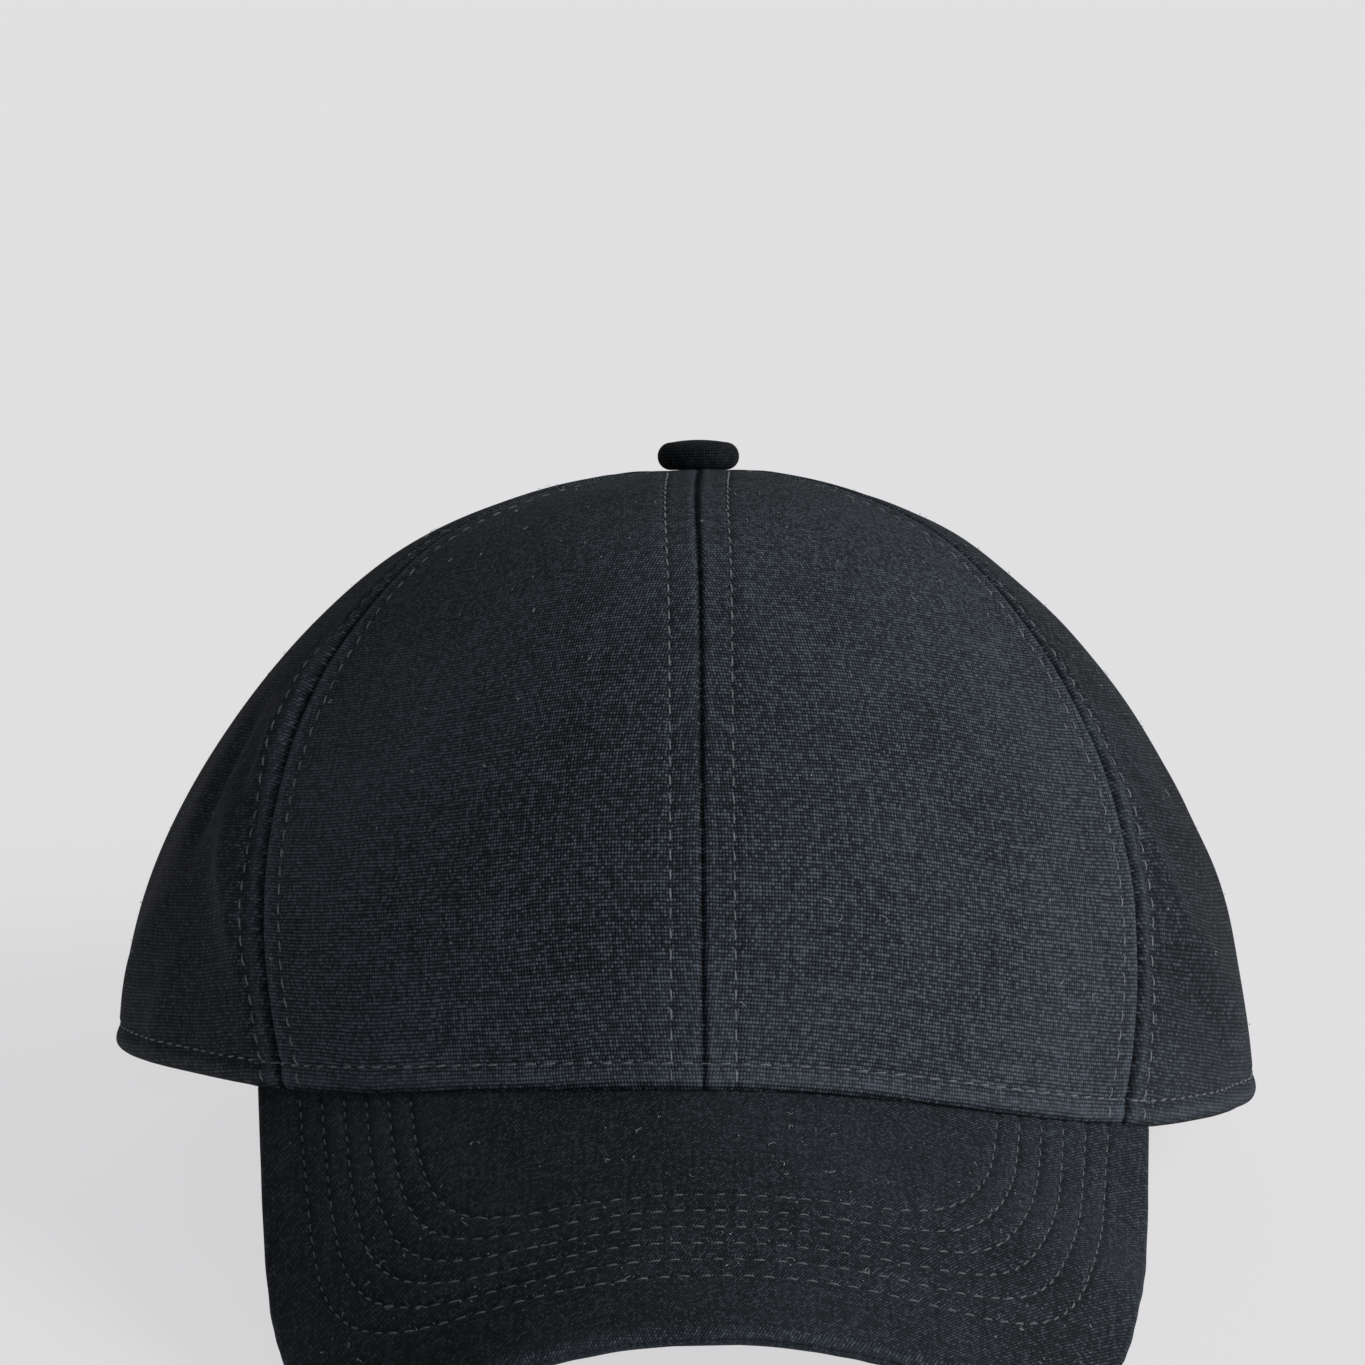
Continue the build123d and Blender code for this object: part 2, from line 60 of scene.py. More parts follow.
STITCH_PITCH, STITCH_LONG, THREAD = 3.1, 2.2, 0.17
TOPSTITCH, SIDE_STITCH = 4.9, 4.1

JOINTS = {j["name"]: j for j in frame["record"]["behaviour"]["joints"]}
_axis = JOINTS["strap_slide"]["axis"]
_tilt = math.atan2(-_axis[1], _axis[2])
ROT = np.array([[1, 0, 0], [0, cos(_tilt), -sin(_tilt)], [0, sin(_tilt), cos(_tilt)]])
_middle = np.array([0, 0, STRAP_LOW + STRAP_WIDTH / 2])
ORIGIN = np.array(JOINTS["strap_slide"]["pos_m"]) - ROT @ _middle * 0.001


def to_row(p):
    """Crown frame in millimetres to the row frame in metres."""
    return (np.asarray(p, float) * 0.001) @ ROT.T + ORIGIN


def smooth(t):
    t = np.clip(t, 0, 1)
    return t * t * (3 - 2 * t)


def bump(d, centre, width):
    return np.exp(-((d - centre) / width) ** 2)


def unit(v, least=1e-9):
    return v / np.maximum(np.linalg.norm(v, axis=-1, keepdims=True), least)


def stack(*parts):
    """Coordinates, stretched to one shape, as points."""
    return np.stack(np.broadcast_arrays(*parts), -1)


# ---------------------------------------------------------------- base surfaces
def crown(u, lat, inset=0.0):
    """Point of the crown at turn u from straight ahead and latitude lat."""
    u, lat = np.broadcast_arrays(np.asarray(u, float), np.asarray(lat, float))
    c = np.where(lat > 0, np.cos(lat), 1.0)
    ahead = np.maximum(np.cos(u), 0)
    half = (HALF - inset) * c ** SIDE_POWER
    reach = np.where(np.cos(u) > 0, (FRONT - inset) * c ** FRONT_POWER, half)
    x = half * np.sin(u) * (1 - SQUARE * c * ahead ** 2)
    return np.stack([x, -reach * np.cos(u), (TOP - inset) * np.sin(lat)], -1)


def crown_normal(u, lat):
    e = 1e-3
    a = crown(u + e, lat) - crown(u - e, lat)
    b = crown(u, lat + e) - crown(u, lat - e)
    return unit(np.cross(a, b), 1e-12)


ROOT_Y = -FRONT * cos(math.asin(BILL_LEVEL / TOP)) ** FRONT_POWER
BILL_AXIS = np.array([0, -cos(ALPHA), -sin(ALPHA)])
BILL_UP = np.array([0, -sin(ALPHA), cos(ALPHA)])


def bill(x, s, depth=0.0):
    """Point of the bill x across and s forward, depth below its top."""
    x, s = np.broadcast_arrays(np.asarray(x, float), np.asarray(s, float))
    r = BEND - TIGHTEN * s
    turn = np.arcsin(np.clip(x / r, -0.999, 0.999))
    px = (r - depth) * np.sin(turn)
    up = -r + (r - depth) * np.cos(turn)
    base = np.array([0, ROOT_Y, BILL_LEVEL])
    return base + s[..., None] * BILL_AXIS + up[..., None] * BILL_UP + px[..., None] * np.array([1, 0, 0])


def bill_height(x, y):
    """Height of the bill's top over a point."""
    s = np.zeros_like(x)
    for _ in range(12):
        r = BEND - TIGHTEN * s
        sag = r - np.sqrt(np.maximum(r * r - x * x, 1.0))
        s = (ROOT_Y + sag * sin(ALPHA) - y) / cos(ALPHA)
    r = BEND - TIGHTEN * s
    sag = r - np.sqrt(np.maximum(r * r - x * x, 1.0))
    return BILL_LEVEL - s * sin(ALPHA) - sag * cos(ALPHA)


def lower_edge(x, y):
    rim = RIM + np.tan(RIM_SLOPE) * y
    over = np.where(y < 0, bill_height(x, np.minimum(y, 0)) - 0.20, -99)
    over = np.where(np.abs(x) < BILL_HALF + 3, over, -99)
    return np.maximum(rim, over)


def solve(f, low, high, shape, steps=46):
    """Root of a rising function between two numbers by halving, for a whole array."""
    low, high = np.full(shape, float(low)), np.full(shape, float(high))
    for _ in range(steps):
        mid = (low + high) / 2
        up = f(mid) > 0
        high = np.where(up, mid, high)
        low = np.where(up, low, mid)
    return (low + high) / 2


# ---------------------------------------------------------------- seams
APEX = np.array([0, 0, TOP])
_foot = np.array([
    HALF * (1 - SQUARE * cos(SEAM_BASE) ** 2) * sin(SEAM_BASE),
    -FRONT * cos(SEAM_BASE), 0])
_leave = np.array([sin(SEAM_TOP), -cos(SEAM_TOP), 0])
_n = np.cross(_leave, _foot - APEX)
FRONT_SEAM = _n / np.linalg.norm(_n)
if FRONT_SEAM @ (np.array([1, -FRONT, 0]) - APEX) > 0:
    FRONT_SEAM = -FRONT_SEAM                    # grows towards the back


def front_seam_distance(p):
    """Signed distance from the front side seam's plane, positive towards the back."""
    return (p - APEX) @ FRONT_SEAM


def rear_seam_distance(p):
    """Signed distance from the rear side seam's upright plane, positive towards the back."""
    return cos(SEAM_REAR - pi / 2) * p[..., 1] - sin(SEAM_REAR - pi / 2) * p[..., 0]


def front_seam_turn(lat, offset=0.0):
    """Turn at which the front side seam, or a line beside it, crosses a latitude."""
    lat = np.asarray(lat, float)
    return solve(lambda u: front_seam_distance(crown(u, lat)) - offset, 0.05, 1.75, lat.shape)


def rear_seam_turn(lat, offset=0.0):
    lat = np.asarray(lat, float)
    return solve(lambda u: rear_seam_distance(crown(u, lat)) - offset, 1.2, 3.1, lat.shape)


def centre_turn(lat, offset, back=False):
    """Turn of a line this far from the centre seam, in front or at the back."""
    lat = np.asarray(lat, float)
    if back:
        return pi - solve(lambda u: crown(pi - u, lat)[..., 0] - offset, 0, 1.5, lat.shape)
    return solve(lambda u: crown(u, lat)[..., 0] - offset, 0, pi / 2, lat.shape)


# ---------------------------------------------------------------- cloth relief
def waves(p, scale, seed, n=7):
    """Smooth, repeatable unevenness from a few crossed sine waves, about -1 to 1."""
    g = np.random.default_rng(seed)
    total = np.zeros(p.shape[:-1])
    for _ in range(n):
        d = g.normal(size=3)
        d /= np.linalg.norm(d)
        k = 2 * pi / (scale * g.uniform(0.6, 1.7))
        total += np.sin(p @ d * k + g.uniform(0, 6.28))
    return total / math.sqrt(n)


def flat_seam(d, along):
    """The stiffened centre seam: a thin line with flat allowances stitched down beside it."""
    d = np.abs(d)
    h = -0.75 * bump(d, 0, 0.42) + 0.14 * bump(d, 1.3, 0.9) - 0.22 * bump(d, TOPSTITCH, 0.5)
    h += 0.05 * np.cos(2 * pi * along / STITCH_PITCH) * bump(d, TOPSTITCH, 1.3)
    return h + 0.10 * bump(d, 7.0, 1.6)


def rolled_seam(d, along):
    """A seam of the soft sides: a deep crease between two rolls of cloth."""
    behind = np.where(d > 0, 1.0, 0.3)
    d = np.abs(d)
    h = -1.35 * bump(d, 0, 0.48) + (0.26 + 0.30 * behind) * bump(d, 1.6, 1.0) - 0.16 * bump(d, SIDE_STITCH, 0.5)
    h += 0.035 * np.cos(2 * pi * along / STITCH_PITCH) * bump(d, SIDE_STITCH, 1.1)
    h += 0.30 * behind * bump(d, 6.2, 1.6)
    return h + 0.09 * np.sin(2 * pi * along / 9.7 + 1.3) * bump(d, 6.5, 3.0)


def fold(p, a, b, width, height):
    """A soft crease from point a to point b, fading at both ends."""
    a, b = np.array(a, float), np.array(b, float)
    run = b - a
    length = np.linalg.norm(run)
    t = ((p - a) @ run) / length ** 2
    near = np.linalg.norm(p - (a + np.clip(t, 0, 1)[..., None] * run), axis=-1)
    return height * np.exp(-(near / width) ** 2) * smooth(1.2 - np.abs(t - 0.5) * 2)


# creases in the unstiffened sides and back: from, to, width, height
CREASES = (
    ((70, -64, 40), (90, -14, 10), 5.0, 1.5),
    ((72, -60, 28), (89, -24, 4), 3.6, -1.1),
    ((76, -42, 52), (90, 8, 26), 7.0, 0.9),
    ((-55, -30, 76), (-72, -49, 46), 3.8, 2.1),
    ((-73, -38, 50), (-72, -62, 16), 4.2, 1.9),
    ((-67, -22, 64), (-82, -34, 34), 4.4, -1.9),
    ((-82, -36, 34), (-90, -8, 8), 5.0, 1.0),
    ((62, -44, 56), (75, -48, 26), 3.6, 2.0),
    ((67, -12, 58), (78, -24, 40), 4.4, -1.3),
    ((-80, -40, 20), (-86, -30, 2), 3.2, 0.8),
    ((60, 66, 60), (84, 34, 20), 6.0, 1.1),
    ((-50, 70, 58), (-80, 42, 16), 6.5, -1.0),
    ((24, 80, 62), (44, 78, 26), 5.0, 0.8),
    ((-30, 78, 60), (-52, 72, 22), 4.5, 0.8),
)


def relief(p):
    """How far the cloth stands out of the crown's plain surface at points on it."""
    x, y, z = p[..., 0], p[..., 1], p[..., 2]
    q = stack(np.abs(x), y, z)
    fs = front_seam_distance(q)
    rs = rear_seam_distance(q)
    ahead = smooth(-fs / 8 + 0.5)                # 1 on the stiffened front panels
    near_top = np.hypot(x, y)
    fade = smooth((near_top - 4) / 9)
    h = (rolled_seam(fs, z) + rolled_seam(rs, z) + flat_seam(x, z)) * fade
    h += 0.75 * bump(z, 88, 8) - 0.60 * bump(z, 62, 20)
    edge = z - lower_edge(x, y)
    h -= 0.30 * bump(edge, 4.0, 0.55)
    h += 0.42 * bump(edge, 1.8, 1.5)
    h += 0.06 * np.cos(2 * pi * np.arctan2(x, -y) * 90 / STITCH_PITCH) * bump(edge, 4.0, 1.4)
    h += ahead * 0.28 * waves(p, 55, 1)
    h += (1 - ahead) * (0.42 * waves(p, 60, 2) + 0.13 * waves(p, 21, 3)) * smooth(np.abs(fs) / 12)
    for crease in CREASES:
        h += fold(p, *crease)
    # the cloth is drawn up a little under the button and held flat under the arch's binding
    h += 0.3 * np.exp(-(near_top / 7.5) ** 2)
    from_arch = (np.sqrt((x / ARCH_HALF) ** 2 + ((z - ZB) / ARCH_HEIGHT) ** 2) - 1) * ARCH_HALF
    h *= np.where(y > 0, smooth((from_arch - 5.2) / 9), 1)
    return h


LEAN, SHIFT = 0.023, 2.5     # how a worn crown sits lower on one side and shifts to the other


def sideways_drop(x):
    return LEAN * x * (1 + np.minimum((x / 69.0) ** 2, 1.05)) + 0.9 * smooth((x - 12) / 40)


def lean(p):
    """A worn cap's slight twist, fading out at the back and up the crown."""
    p = np.array(p, float)
    ease = smooth((48 - p[..., 1]) / 48)
    low = smooth((80 - p[..., 2]) / 80)
    drop = sideways_drop(p[..., 0]) * ease * low
    slide = SHIFT * (1 - np.exp(-np.maximum(TOP - p[..., 2], 0) / 10)) * ease
    slide *= smooth((p[..., 1] + 75) / 60)
    p[..., 2] -= drop
    p[..., 0] -= slide
    return p


def bill_lean(p, s):
    p = np.array(p, float)
    t = smooth((s + 6) / 28)
    p[..., 2] -= (sideways_drop(p[..., 0]) + 0.75) * (1 - t) - 0.008 * p[..., 0] * t
    return p


def crown_cloth(u, lat, out=0.0):
    p = crown(u, lat)
    return lean(p + (relief(p) + out)[..., None] * crown_normal(u, lat))


# ---------------------------------------------------------------- materials
class Value:
    """A shader socket that takes part in sums and products like a number."""

    def __init__(self, nodes, socket):
        self.nodes, self.socket = nodes, socket

    def __add__(self, other):
        return self.nodes.math("ADD", self, other)

    def __sub__(self, other):
        return self.nodes.math("SUBTRACT", self, other)

    def __mul__(self, other):
        return self.nodes.math("MULTIPLY", self, other)

    def __truediv__(self, other):
        return self.nodes.math("DIVIDE", self, other)


class Nodes:
    """A material and the nodes that feed its shader."""

    def __init__(self, name):
        self.mat = bpy.data.materials.new(name)
        self.mat.use_nodes = True
        self.tree = self.mat.node_tree
        self.shader = self.tree.nodes["Principled BSDF"]

    def put(self, sockets, values):
        for key, value in values.items():
            if isinstance(value, Value):
                self.tree.links.new(value.socket, sockets[key])
            else:
                sockets[key].default_value = value

    def shade(self, values):
        """Sets or links the shader's own sockets."""
        self.put(self.shader.inputs, values)
        return self.mat

    def add(self, kind, outputs, values, **settings):
        """A new node's outputs, by name or number."""
        node = self.tree.nodes.new("ShaderNode" + kind)
        for key, value in settings.items():
            setattr(node, key, value)
        self.put(node.inputs, values)
        found = [Value(self, node.outputs[key]) for key in outputs]
        return found if len(found) > 1 else found[0]

    def math(self, op, *values):
        return self.add("Math", [0], dict(enumerate(values)), operation=op)

    def wave(self, value):
        """Half a sine wave over each whole number of value."""
        return self.math("SINE", self.math("FRACT", value) * pi)

    def noise(self, vector, scale, detail=3.0, rough=0.55):
        return self.add("TexNoise", ["Fac"], {
            "Vector": vector, "Scale": scale, "Detail": detail, "Roughness": rough})

    def ramp(self, value, low, high):
        return self.add("MapRange", [0], {"Value": value, "From Min": low, "From Max": high},
                        interpolation_type="SMOOTHSTEP")

    def mix(self, factor, a, b):
        return self.add("Mix", [2], {0: factor, 6: a, 7: b}, data_type="RGBA")

    def combine(self, x, y):
        return self.add("CombineXYZ", [0], {0: x, 1: y})

    def attribute(self, name):
        vector = self.add("Attribute", ["Vector"], {}, attribute_name=name)
        return self.add("SeparateXYZ", [0, 1, 2], {0: vector})

    def place(self):
        return self.add("TexCoord", ["Object"], {})

    def bump(self, height, strength, distance, **below):
        return self.add("Bump", [0], {"Strength": strength, "Distance": distance, "Height": height, **below})


def scaled(colour, k):
    return tuple(min(1.0, c * k) for c in colour[:3]) + (1.0,)


def cloth_material(name, colour, weave="plain", rib=0.60, bead=0.50, depth=1.0, lint=1.0, sheen=0.015):
    """Woven cloth. The mesh's cloth attribute holds millimetres across, millimetres along, and a tone shift,
    which on the crown panels is painted highlight and painted shade.
    """
    g = Nodes(name)
    place = g.place()
    x, y, edge = g.attribute("cloth")
    wobble, drift = g.noise(place, 160.0, 2.0), g.noise(place, 45.0, 2.0)
    x = x + wobble * 0.30
    y = y + (wobble * 0.22 + drift * 1.2)
    if weave == "plain":
        rows, across, step = y / rib, x / bead, 0.12
    else:
        rows, across, step = (x * 0.80 + y * 0.60) / rib, (y * 0.80 - x * 0.60) / bead, 0.5
    row = g.math("FLOOR", rows)
    beads = across + g.math("MODULO", row, 2.0) * step
    height = g.wave(rows) * (g.wave(beads) * 0.75 + 0.25)
    # every crossing of two yarns takes its own tone
    crossing = g.combine(row, g.math("FLOOR", beads))
    own = g.add("TexWhiteNoise", ["Value"], {"Vector": crossing}, noise_dimensions="3D")
    slub = g.noise(g.combine(x * 0.035, y * 1.6), 1.0, 2.0)
    slub2 = g.noise(g.combine(x * 1.6, y * 0.05), 1.0, 2.0)
    patch = g.noise(place, 16.0, 4.0)
    fine = g.noise(place, 2600.0, 2.0, 0.7)
    # yarn tops paler than the gaps between the yarns: painted shade in the weave's hollows
    tone = height * (own * 0.75 + 0.45) * (1.25 * depth) - 0.12
    tone = tone + (slub - 0.5) * 0.45 + (slub2 - 0.5) * 0.45 + (patch - 0.5) * 0.95
    # edge is the attribute's tone shift: painted highlight and painted shade on the crown panels
    tone = tone + (fine - 0.5) * 0.6 + edge * 0.30 + g.math("POWER", own, 5.0) * height * 0.9
    base = g.mix(g.ramp(tone, -0.35, 1.55), scaled(colour, 0.15), scaled(colour, 3.6))
    # lint: sparse pale specks
    far, pick = g.add("TexVoronoi", ["Distance", "Color"], {"Vector": place, "Scale": 300.0})
    chance, size = g.add("SeparateColor", [0, 1], {0: pick})
    speck = g.math("GREATER_THAN", chance, 0.82) * g.math("LESS_THAN", far, size * 0.05 + 0.02)
    woven = g.bump(height, 0.9 * depth, 0.00018)
    return g.shade({
        "Base Color": g.mix(speck * (0.5 * lint), base, (0.26, 0.27, 0.29, 1)),
        "Roughness": fine * 0.18 + 0.76, "Specular IOR Level": 0.08,
        "Sheen Weight": sheen, "Sheen Roughness": 0.45, "Sheen Tint": (0.55, 0.60, 0.68, 1),
        "Normal": g.bump(fine + slub * 0.6, 0.35, 0.0001, Normal=woven)})


def thread_material(name, colour):
    """Twisted thread, its plies running round each stitch."""
    g = Nodes(name)
    x, y, _ = g.attribute("cloth")
    ply = g.math("SINE", (y + x * 0.5) * (2 * pi / 0.42))
    # the grooves between the plies darker than their crowns: painted shade
    tone = g.ramp(g.noise(g.place(), 700.0) + ply * 0.12, 0.2, 0.85)
    return g.shade({
        "Base Color": g.mix(tone, scaled(colour, 0.5), scaled(colour, 1.5)), "Roughness": 0.55,
        "Specular IOR Level": 0.4, "Sheen Weight": 0.1, "Normal": g.bump(ply, 0.5, 0.00006)})


def metal_material(name, colour, rough, wear):
    """Brushed metal, paler where wear has rubbed it."""
    g = Nodes(name)
    place = g.place()
    cloud, grain = g.noise(place, 220.0, 5.0, 0.65), g.noise(place, 1800.0, 2.0)
    brush = g.noise(g.add("Mapping", [0], {0: place, "Scale": (3000.0, 260.0, 260.0)}), 1.0, 2.0)
    tone = g.ramp(cloud * 0.7 + grain * 0.3, 0.38, 0.66)
    return g.shade({
        "Base Color": g.mix(tone * wear, colour, scaled(colour, 2.2)), "Metallic": 1.0,
        "Roughness": brush * 0.28 + (rough - 0.1), "Normal": g.bump(brush + cloud * 0.5, 0.18, 0.00008)})


def board_material(name):
    g = Nodes(name)
    grain = g.noise(g.place(), 900.0, 3.0)
    return g.shade({
        "Base Color": g.mix(grain, (0.06, 0.06, 0.064, 1), (0.11, 0.11, 0.115, 1)),
        "Roughness": 0.6, "Normal": g.bump(grain, 0.2, 0.0001)})


CHARCOAL = (0.0180, 0.0222, 0.0272)
canvas = cloth_material("canvas", CHARCOAL)
# the front's canvas made darker for the sides and back: painted shade on the sides and back
soft_canvas_painted_shade = cloth_material("soft_canvas_painted_shade", scaled(CHARCOAL, 0.88)[:3], depth=0.62)
twill = cloth_material("bill_twill", (0.0140, 0.0173, 0.0214), weave="twill", rib=0.42, bead=0.5, depth=0.6)
button_canvas = cloth_material("button_canvas", (0.0044, 0.0055, 0.0067), rib=0.5, bead=0.45, lint=0.3)
band_cloth = cloth_material(
    "sweatband_twill", (0.019, 0.0225, 0.027), weave="twill", rib=0.7, bead=1.0, lint=0.5)
tape_cloth = cloth_material("tape_cloth", (0.0195, 0.0232, 0.0275), rib=0.5, bead=0.5, lint=0.5)
stiff_cloth = cloth_material("buckram", (0.030, 0.033, 0.037), rib=1.3, bead=1.3, depth=1.2, lint=0.3)
strap_cloth = cloth_material("strap_canvas", (0.0172, 0.0210, 0.0254), rib=0.55, bead=0.42)
label_cloth = cloth_material(
    "label_cloth", (0.50, 0.49, 0.46), rib=0.35, bead=0.35, depth=0.5, lint=0.0, sheen=0.05)
thread = thread_material("thread", (0.078, 0.086, 0.096))
seam_thread = thread_material("seam_thread", (0.098, 0.107, 0.118))
bill_thread = thread_material("bill_thread", (0.066, 0.073, 0.082))
dark_thread = thread_material("dark_thread", (0.050, 0.056, 0.064))
lint_mat = thread_material("lint", (0.28, 0.29, 0.31))
buckle_metal = metal_material("buckle_metal", (0.045, 0.045, 0.047, 1), 0.30, 0.9)
steel = metal_material("steel", (0.5, 0.5, 0.51, 1), 0.3, 0.3)
board_mat = board_material("board")


# ---------------------------------------------------------------- meshes
def piece(name, verts, faces, material, slot, cloth=None, body="cap", replaces=()):
    """A mesh from crown-frame points, riding on a body."""
    co = to_row(np.asarray(verts, float).reshape(-1, 3))
    mesh = bpy.data.meshes.new(name)
    faces = np.asarray(faces, np.int32)
    mesh.vertices.add(len(co))
    mesh.vertices.foreach_set("co", co.ravel())
    mesh.loops.add(faces.size)
    mesh.loops.foreach_set("vertex_index", faces.ravel())
    mesh.polygons.add(len(faces))
    mesh.polygons.foreach_set("loop_start", np.arange(len(faces)) * faces.shape[1])
    mesh.update(calc_edges=True)
    mesh.validate()
    mesh.polygons.foreach_set("use_smooth", np.ones(len(mesh.polygons), bool))
    cloth = np.zeros((len(co), 3)) if cloth is None else np.asarray(cloth, float)
    mesh.attributes.new("cloth", "FLOAT_VECTOR", "POINT").data.foreach_set("vector", cloth.ravel())
    mesh.materials.append(material)
    obj = bpy.data.objects.new(name, mesh)
    bpy.context.scene.collection.objects.link(obj)
    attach(obj, body)
    if replaces:
        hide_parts(*replaces)
    return obj


def grid_faces(rows, cols, start=0, flip=False, wrap=False):
    i = np.arange(rows - 1)[:, None]
    j = np.arange(cols if wrap else cols - 1)[None, :]
    a = start + i * cols + j
    b = start + i * cols + (j + 1) % cols
    quads = np.stack([a, b, b + cols, a + cols], -1).reshape(-1, 4)
    return quads[:, ::-1] if flip else quads


def sheet_faces(rows, cols):
    """Faces of a closed sheet: outer grid, inner grid and the four edges."""
    n = rows * cols
    outer = grid_faces(rows, cols)
    inner = grid_faces(rows, cols, n, True)
    strips = []
    i = np.arange(rows - 1)
    j = np.arange(cols - 1)
    strips.append(np.stack([i * cols, (i + 1) * cols, (i + 1) * cols + n, i * cols + n], -1))
    e = i * cols + cols - 1
    strips.append(np.stack([e, e + n, e + cols + n, e + cols], -1))
    strips.append(np.stack([j, j + n, j + 1 + n, j + 1], -1))
    t = (rows - 1) * cols + j
    strips.append(np.stack([t, t + 1, t + 1 + n, t + n], -1))
    return np.concatenate([outer, inner, *strips])


def sheet(name, outer, inner, cloth, material, slot, **more):
    """A closed sheet between two grids of points, its faces outward."""
    faces = sheet_faces(*outer.shape[:2])
    i, j = outer.shape[0] // 2, outer.shape[1] // 2
    p = outer[i, j]
    if np.cross(outer[i, j + 1] - p, outer[i + 1, j] - p) @ (p - inner[i, j]) < 0:
        faces = faces[:, ::-1]
    verts = np.concatenate([outer.reshape(-1, 3), inner.reshape(-1, 3)])
    return piece(name, verts, faces, material, slot, np.concatenate([cloth.reshape(-1, 3)] * 2), **more)


def spread(n, edges, total):
    """Fractions from 0 to 1, closer together within a millimetre or two of both ends."""
    near = np.array(edges) / total
    middle = np.linspace(near[-1], 1 - near[-1], n)
    return np.concatenate([near[:-1], middle, (1 - near[:-1])[::-1]])


def lengths(p, axis):
    step = np.linalg.norm(np.diff(p, axis=axis), axis=-1)
    zero = np.zeros_like(np.take(step, [0], axis=axis))
    return np.concatenate([zero, np.cumsum(step, axis=axis)], axis=axis)


def cloth_coords(p, edge):
    along = lengths(p, 0)
    across = lengths(p, 1)
    across = across - across[:, across.shape[1] // 2][:, None]
    return stack(across, along - along[-1:, :], edge)


LAT_TOP = radians(89.0)
EDGES = (0.0, 0.12, 0.3, 0.55, 0.85, 1.25, 1.7)


def panel_turns(kind, lat, w):
    """Turn of every grid point of a panel: lat is (rows, cols), w is (cols,)."""
    if kind == "front":
        a, b = 0.0, front_seam_turn(lat)
    elif kind == "side":
        a, b = front_seam_turn(lat), rear_seam_turn(lat)
    else:
        a, b = rear_seam_turn(lat), np.full(lat.shape, pi)
    return a + (b - a) * w


def bottom_latitude(kind, w):
    """Latitude at which each of a panel's columns meets the cap's edge."""
    def above(lat):
        x, y, z = np.moveaxis(crown(panel_turns(kind, lat, w), lat), -1, 0)
        edge = lower_edge(x, y)
        if kind == "back":
            inside = 1 - (x / ARCH_HALF) ** 2
            edge = np.where(inside > 0, ZB + ARCH_HEIGHT * np.sqrt(np.maximum(inside, 0)), edge)
        return z - edge
    return solve(above, -0.05, 1.2, w.shape)


def panel(kind, word, side):
    cols, rows = {"front": 150, "side": 150, "back": 130}[kind], 190
    w = spread(cols, EDGES, 95)
    if kind == "back":
        w = np.sort(np.concatenate([w, np.linspace(0.44, 0.56, 40)]))
    bottom = bottom_latitude(kind, w)
    lat = bottom + (LAT_TOP - bottom) * spread(rows, EDGES, 140)[:, None]
    u = panel_turns(kind, lat, w[None, :])
    p = crown(u, lat)
    q = p * np.array([side, 1, 1])
    normal = crown_normal(u, lat) * np.array([side, 1, 1])
    # a rounded, folded lower edge
    edge, fold_radius = lengths(p, 0), 1.25
    within = np.maximum(fold_radius ** 2 - (fold_radius - edge) ** 2, 0)
    tuck = np.where(edge < fold_radius, fold_radius - np.sqrt(within), 0)
    # the back panels stay clear of the strap that slides along their inside
    h = relief(q)
    lowest, deepest = (-0.85, -0.4) if kind == "back" else (-9.0, -9.0)
    h = np.maximum(h, lowest)
    outer = lean(q + (h - tuck)[..., None] * normal)
    inner = lean(q + (np.clip(h, deepest, 0.4) * 0.6 - 1.0 - np.maximum(tuck - 0.9, 0))[..., None] * normal)
    # paler along folds and rolls: painted highlight; darker in the seams and at the lower edge: painted shade
    front, rear = front_seam_distance(p), rear_seam_distance(p)
    painted_light_and_shade = 0.9 * bump(edge, 2.0, 0.9) - 1.6 * bump(edge, 0, 0.7)
    painted_light_and_shade += 0.9 * bump(np.abs(front), 1.6, 0.8) - 2.1 * bump(front, 0, 0.36)
    painted_light_and_shade += 0.9 * bump(np.abs(rear), 1.6, 0.8) - 1.6 * bump(rear, 0, 0.3)
    painted_light_and_shade += 0.35 * bump(p[..., 0], 1.4, 0.9) - 1.2 * bump(p[..., 0], 0, 0.35)
    sheet(f"{kind}_panel_{word}_cloth", outer, inner, cloth_coords(q, painted_light_and_shade),
          canvas if kind == "front" else soft_canvas_painted_shade, "canvas", replaces=(f"{kind}_panel_{word}",))


for word, side in (("left", -1), ("right", 1)):
    for kind in ("front", "side", "back"):
        panel(kind, word, side)


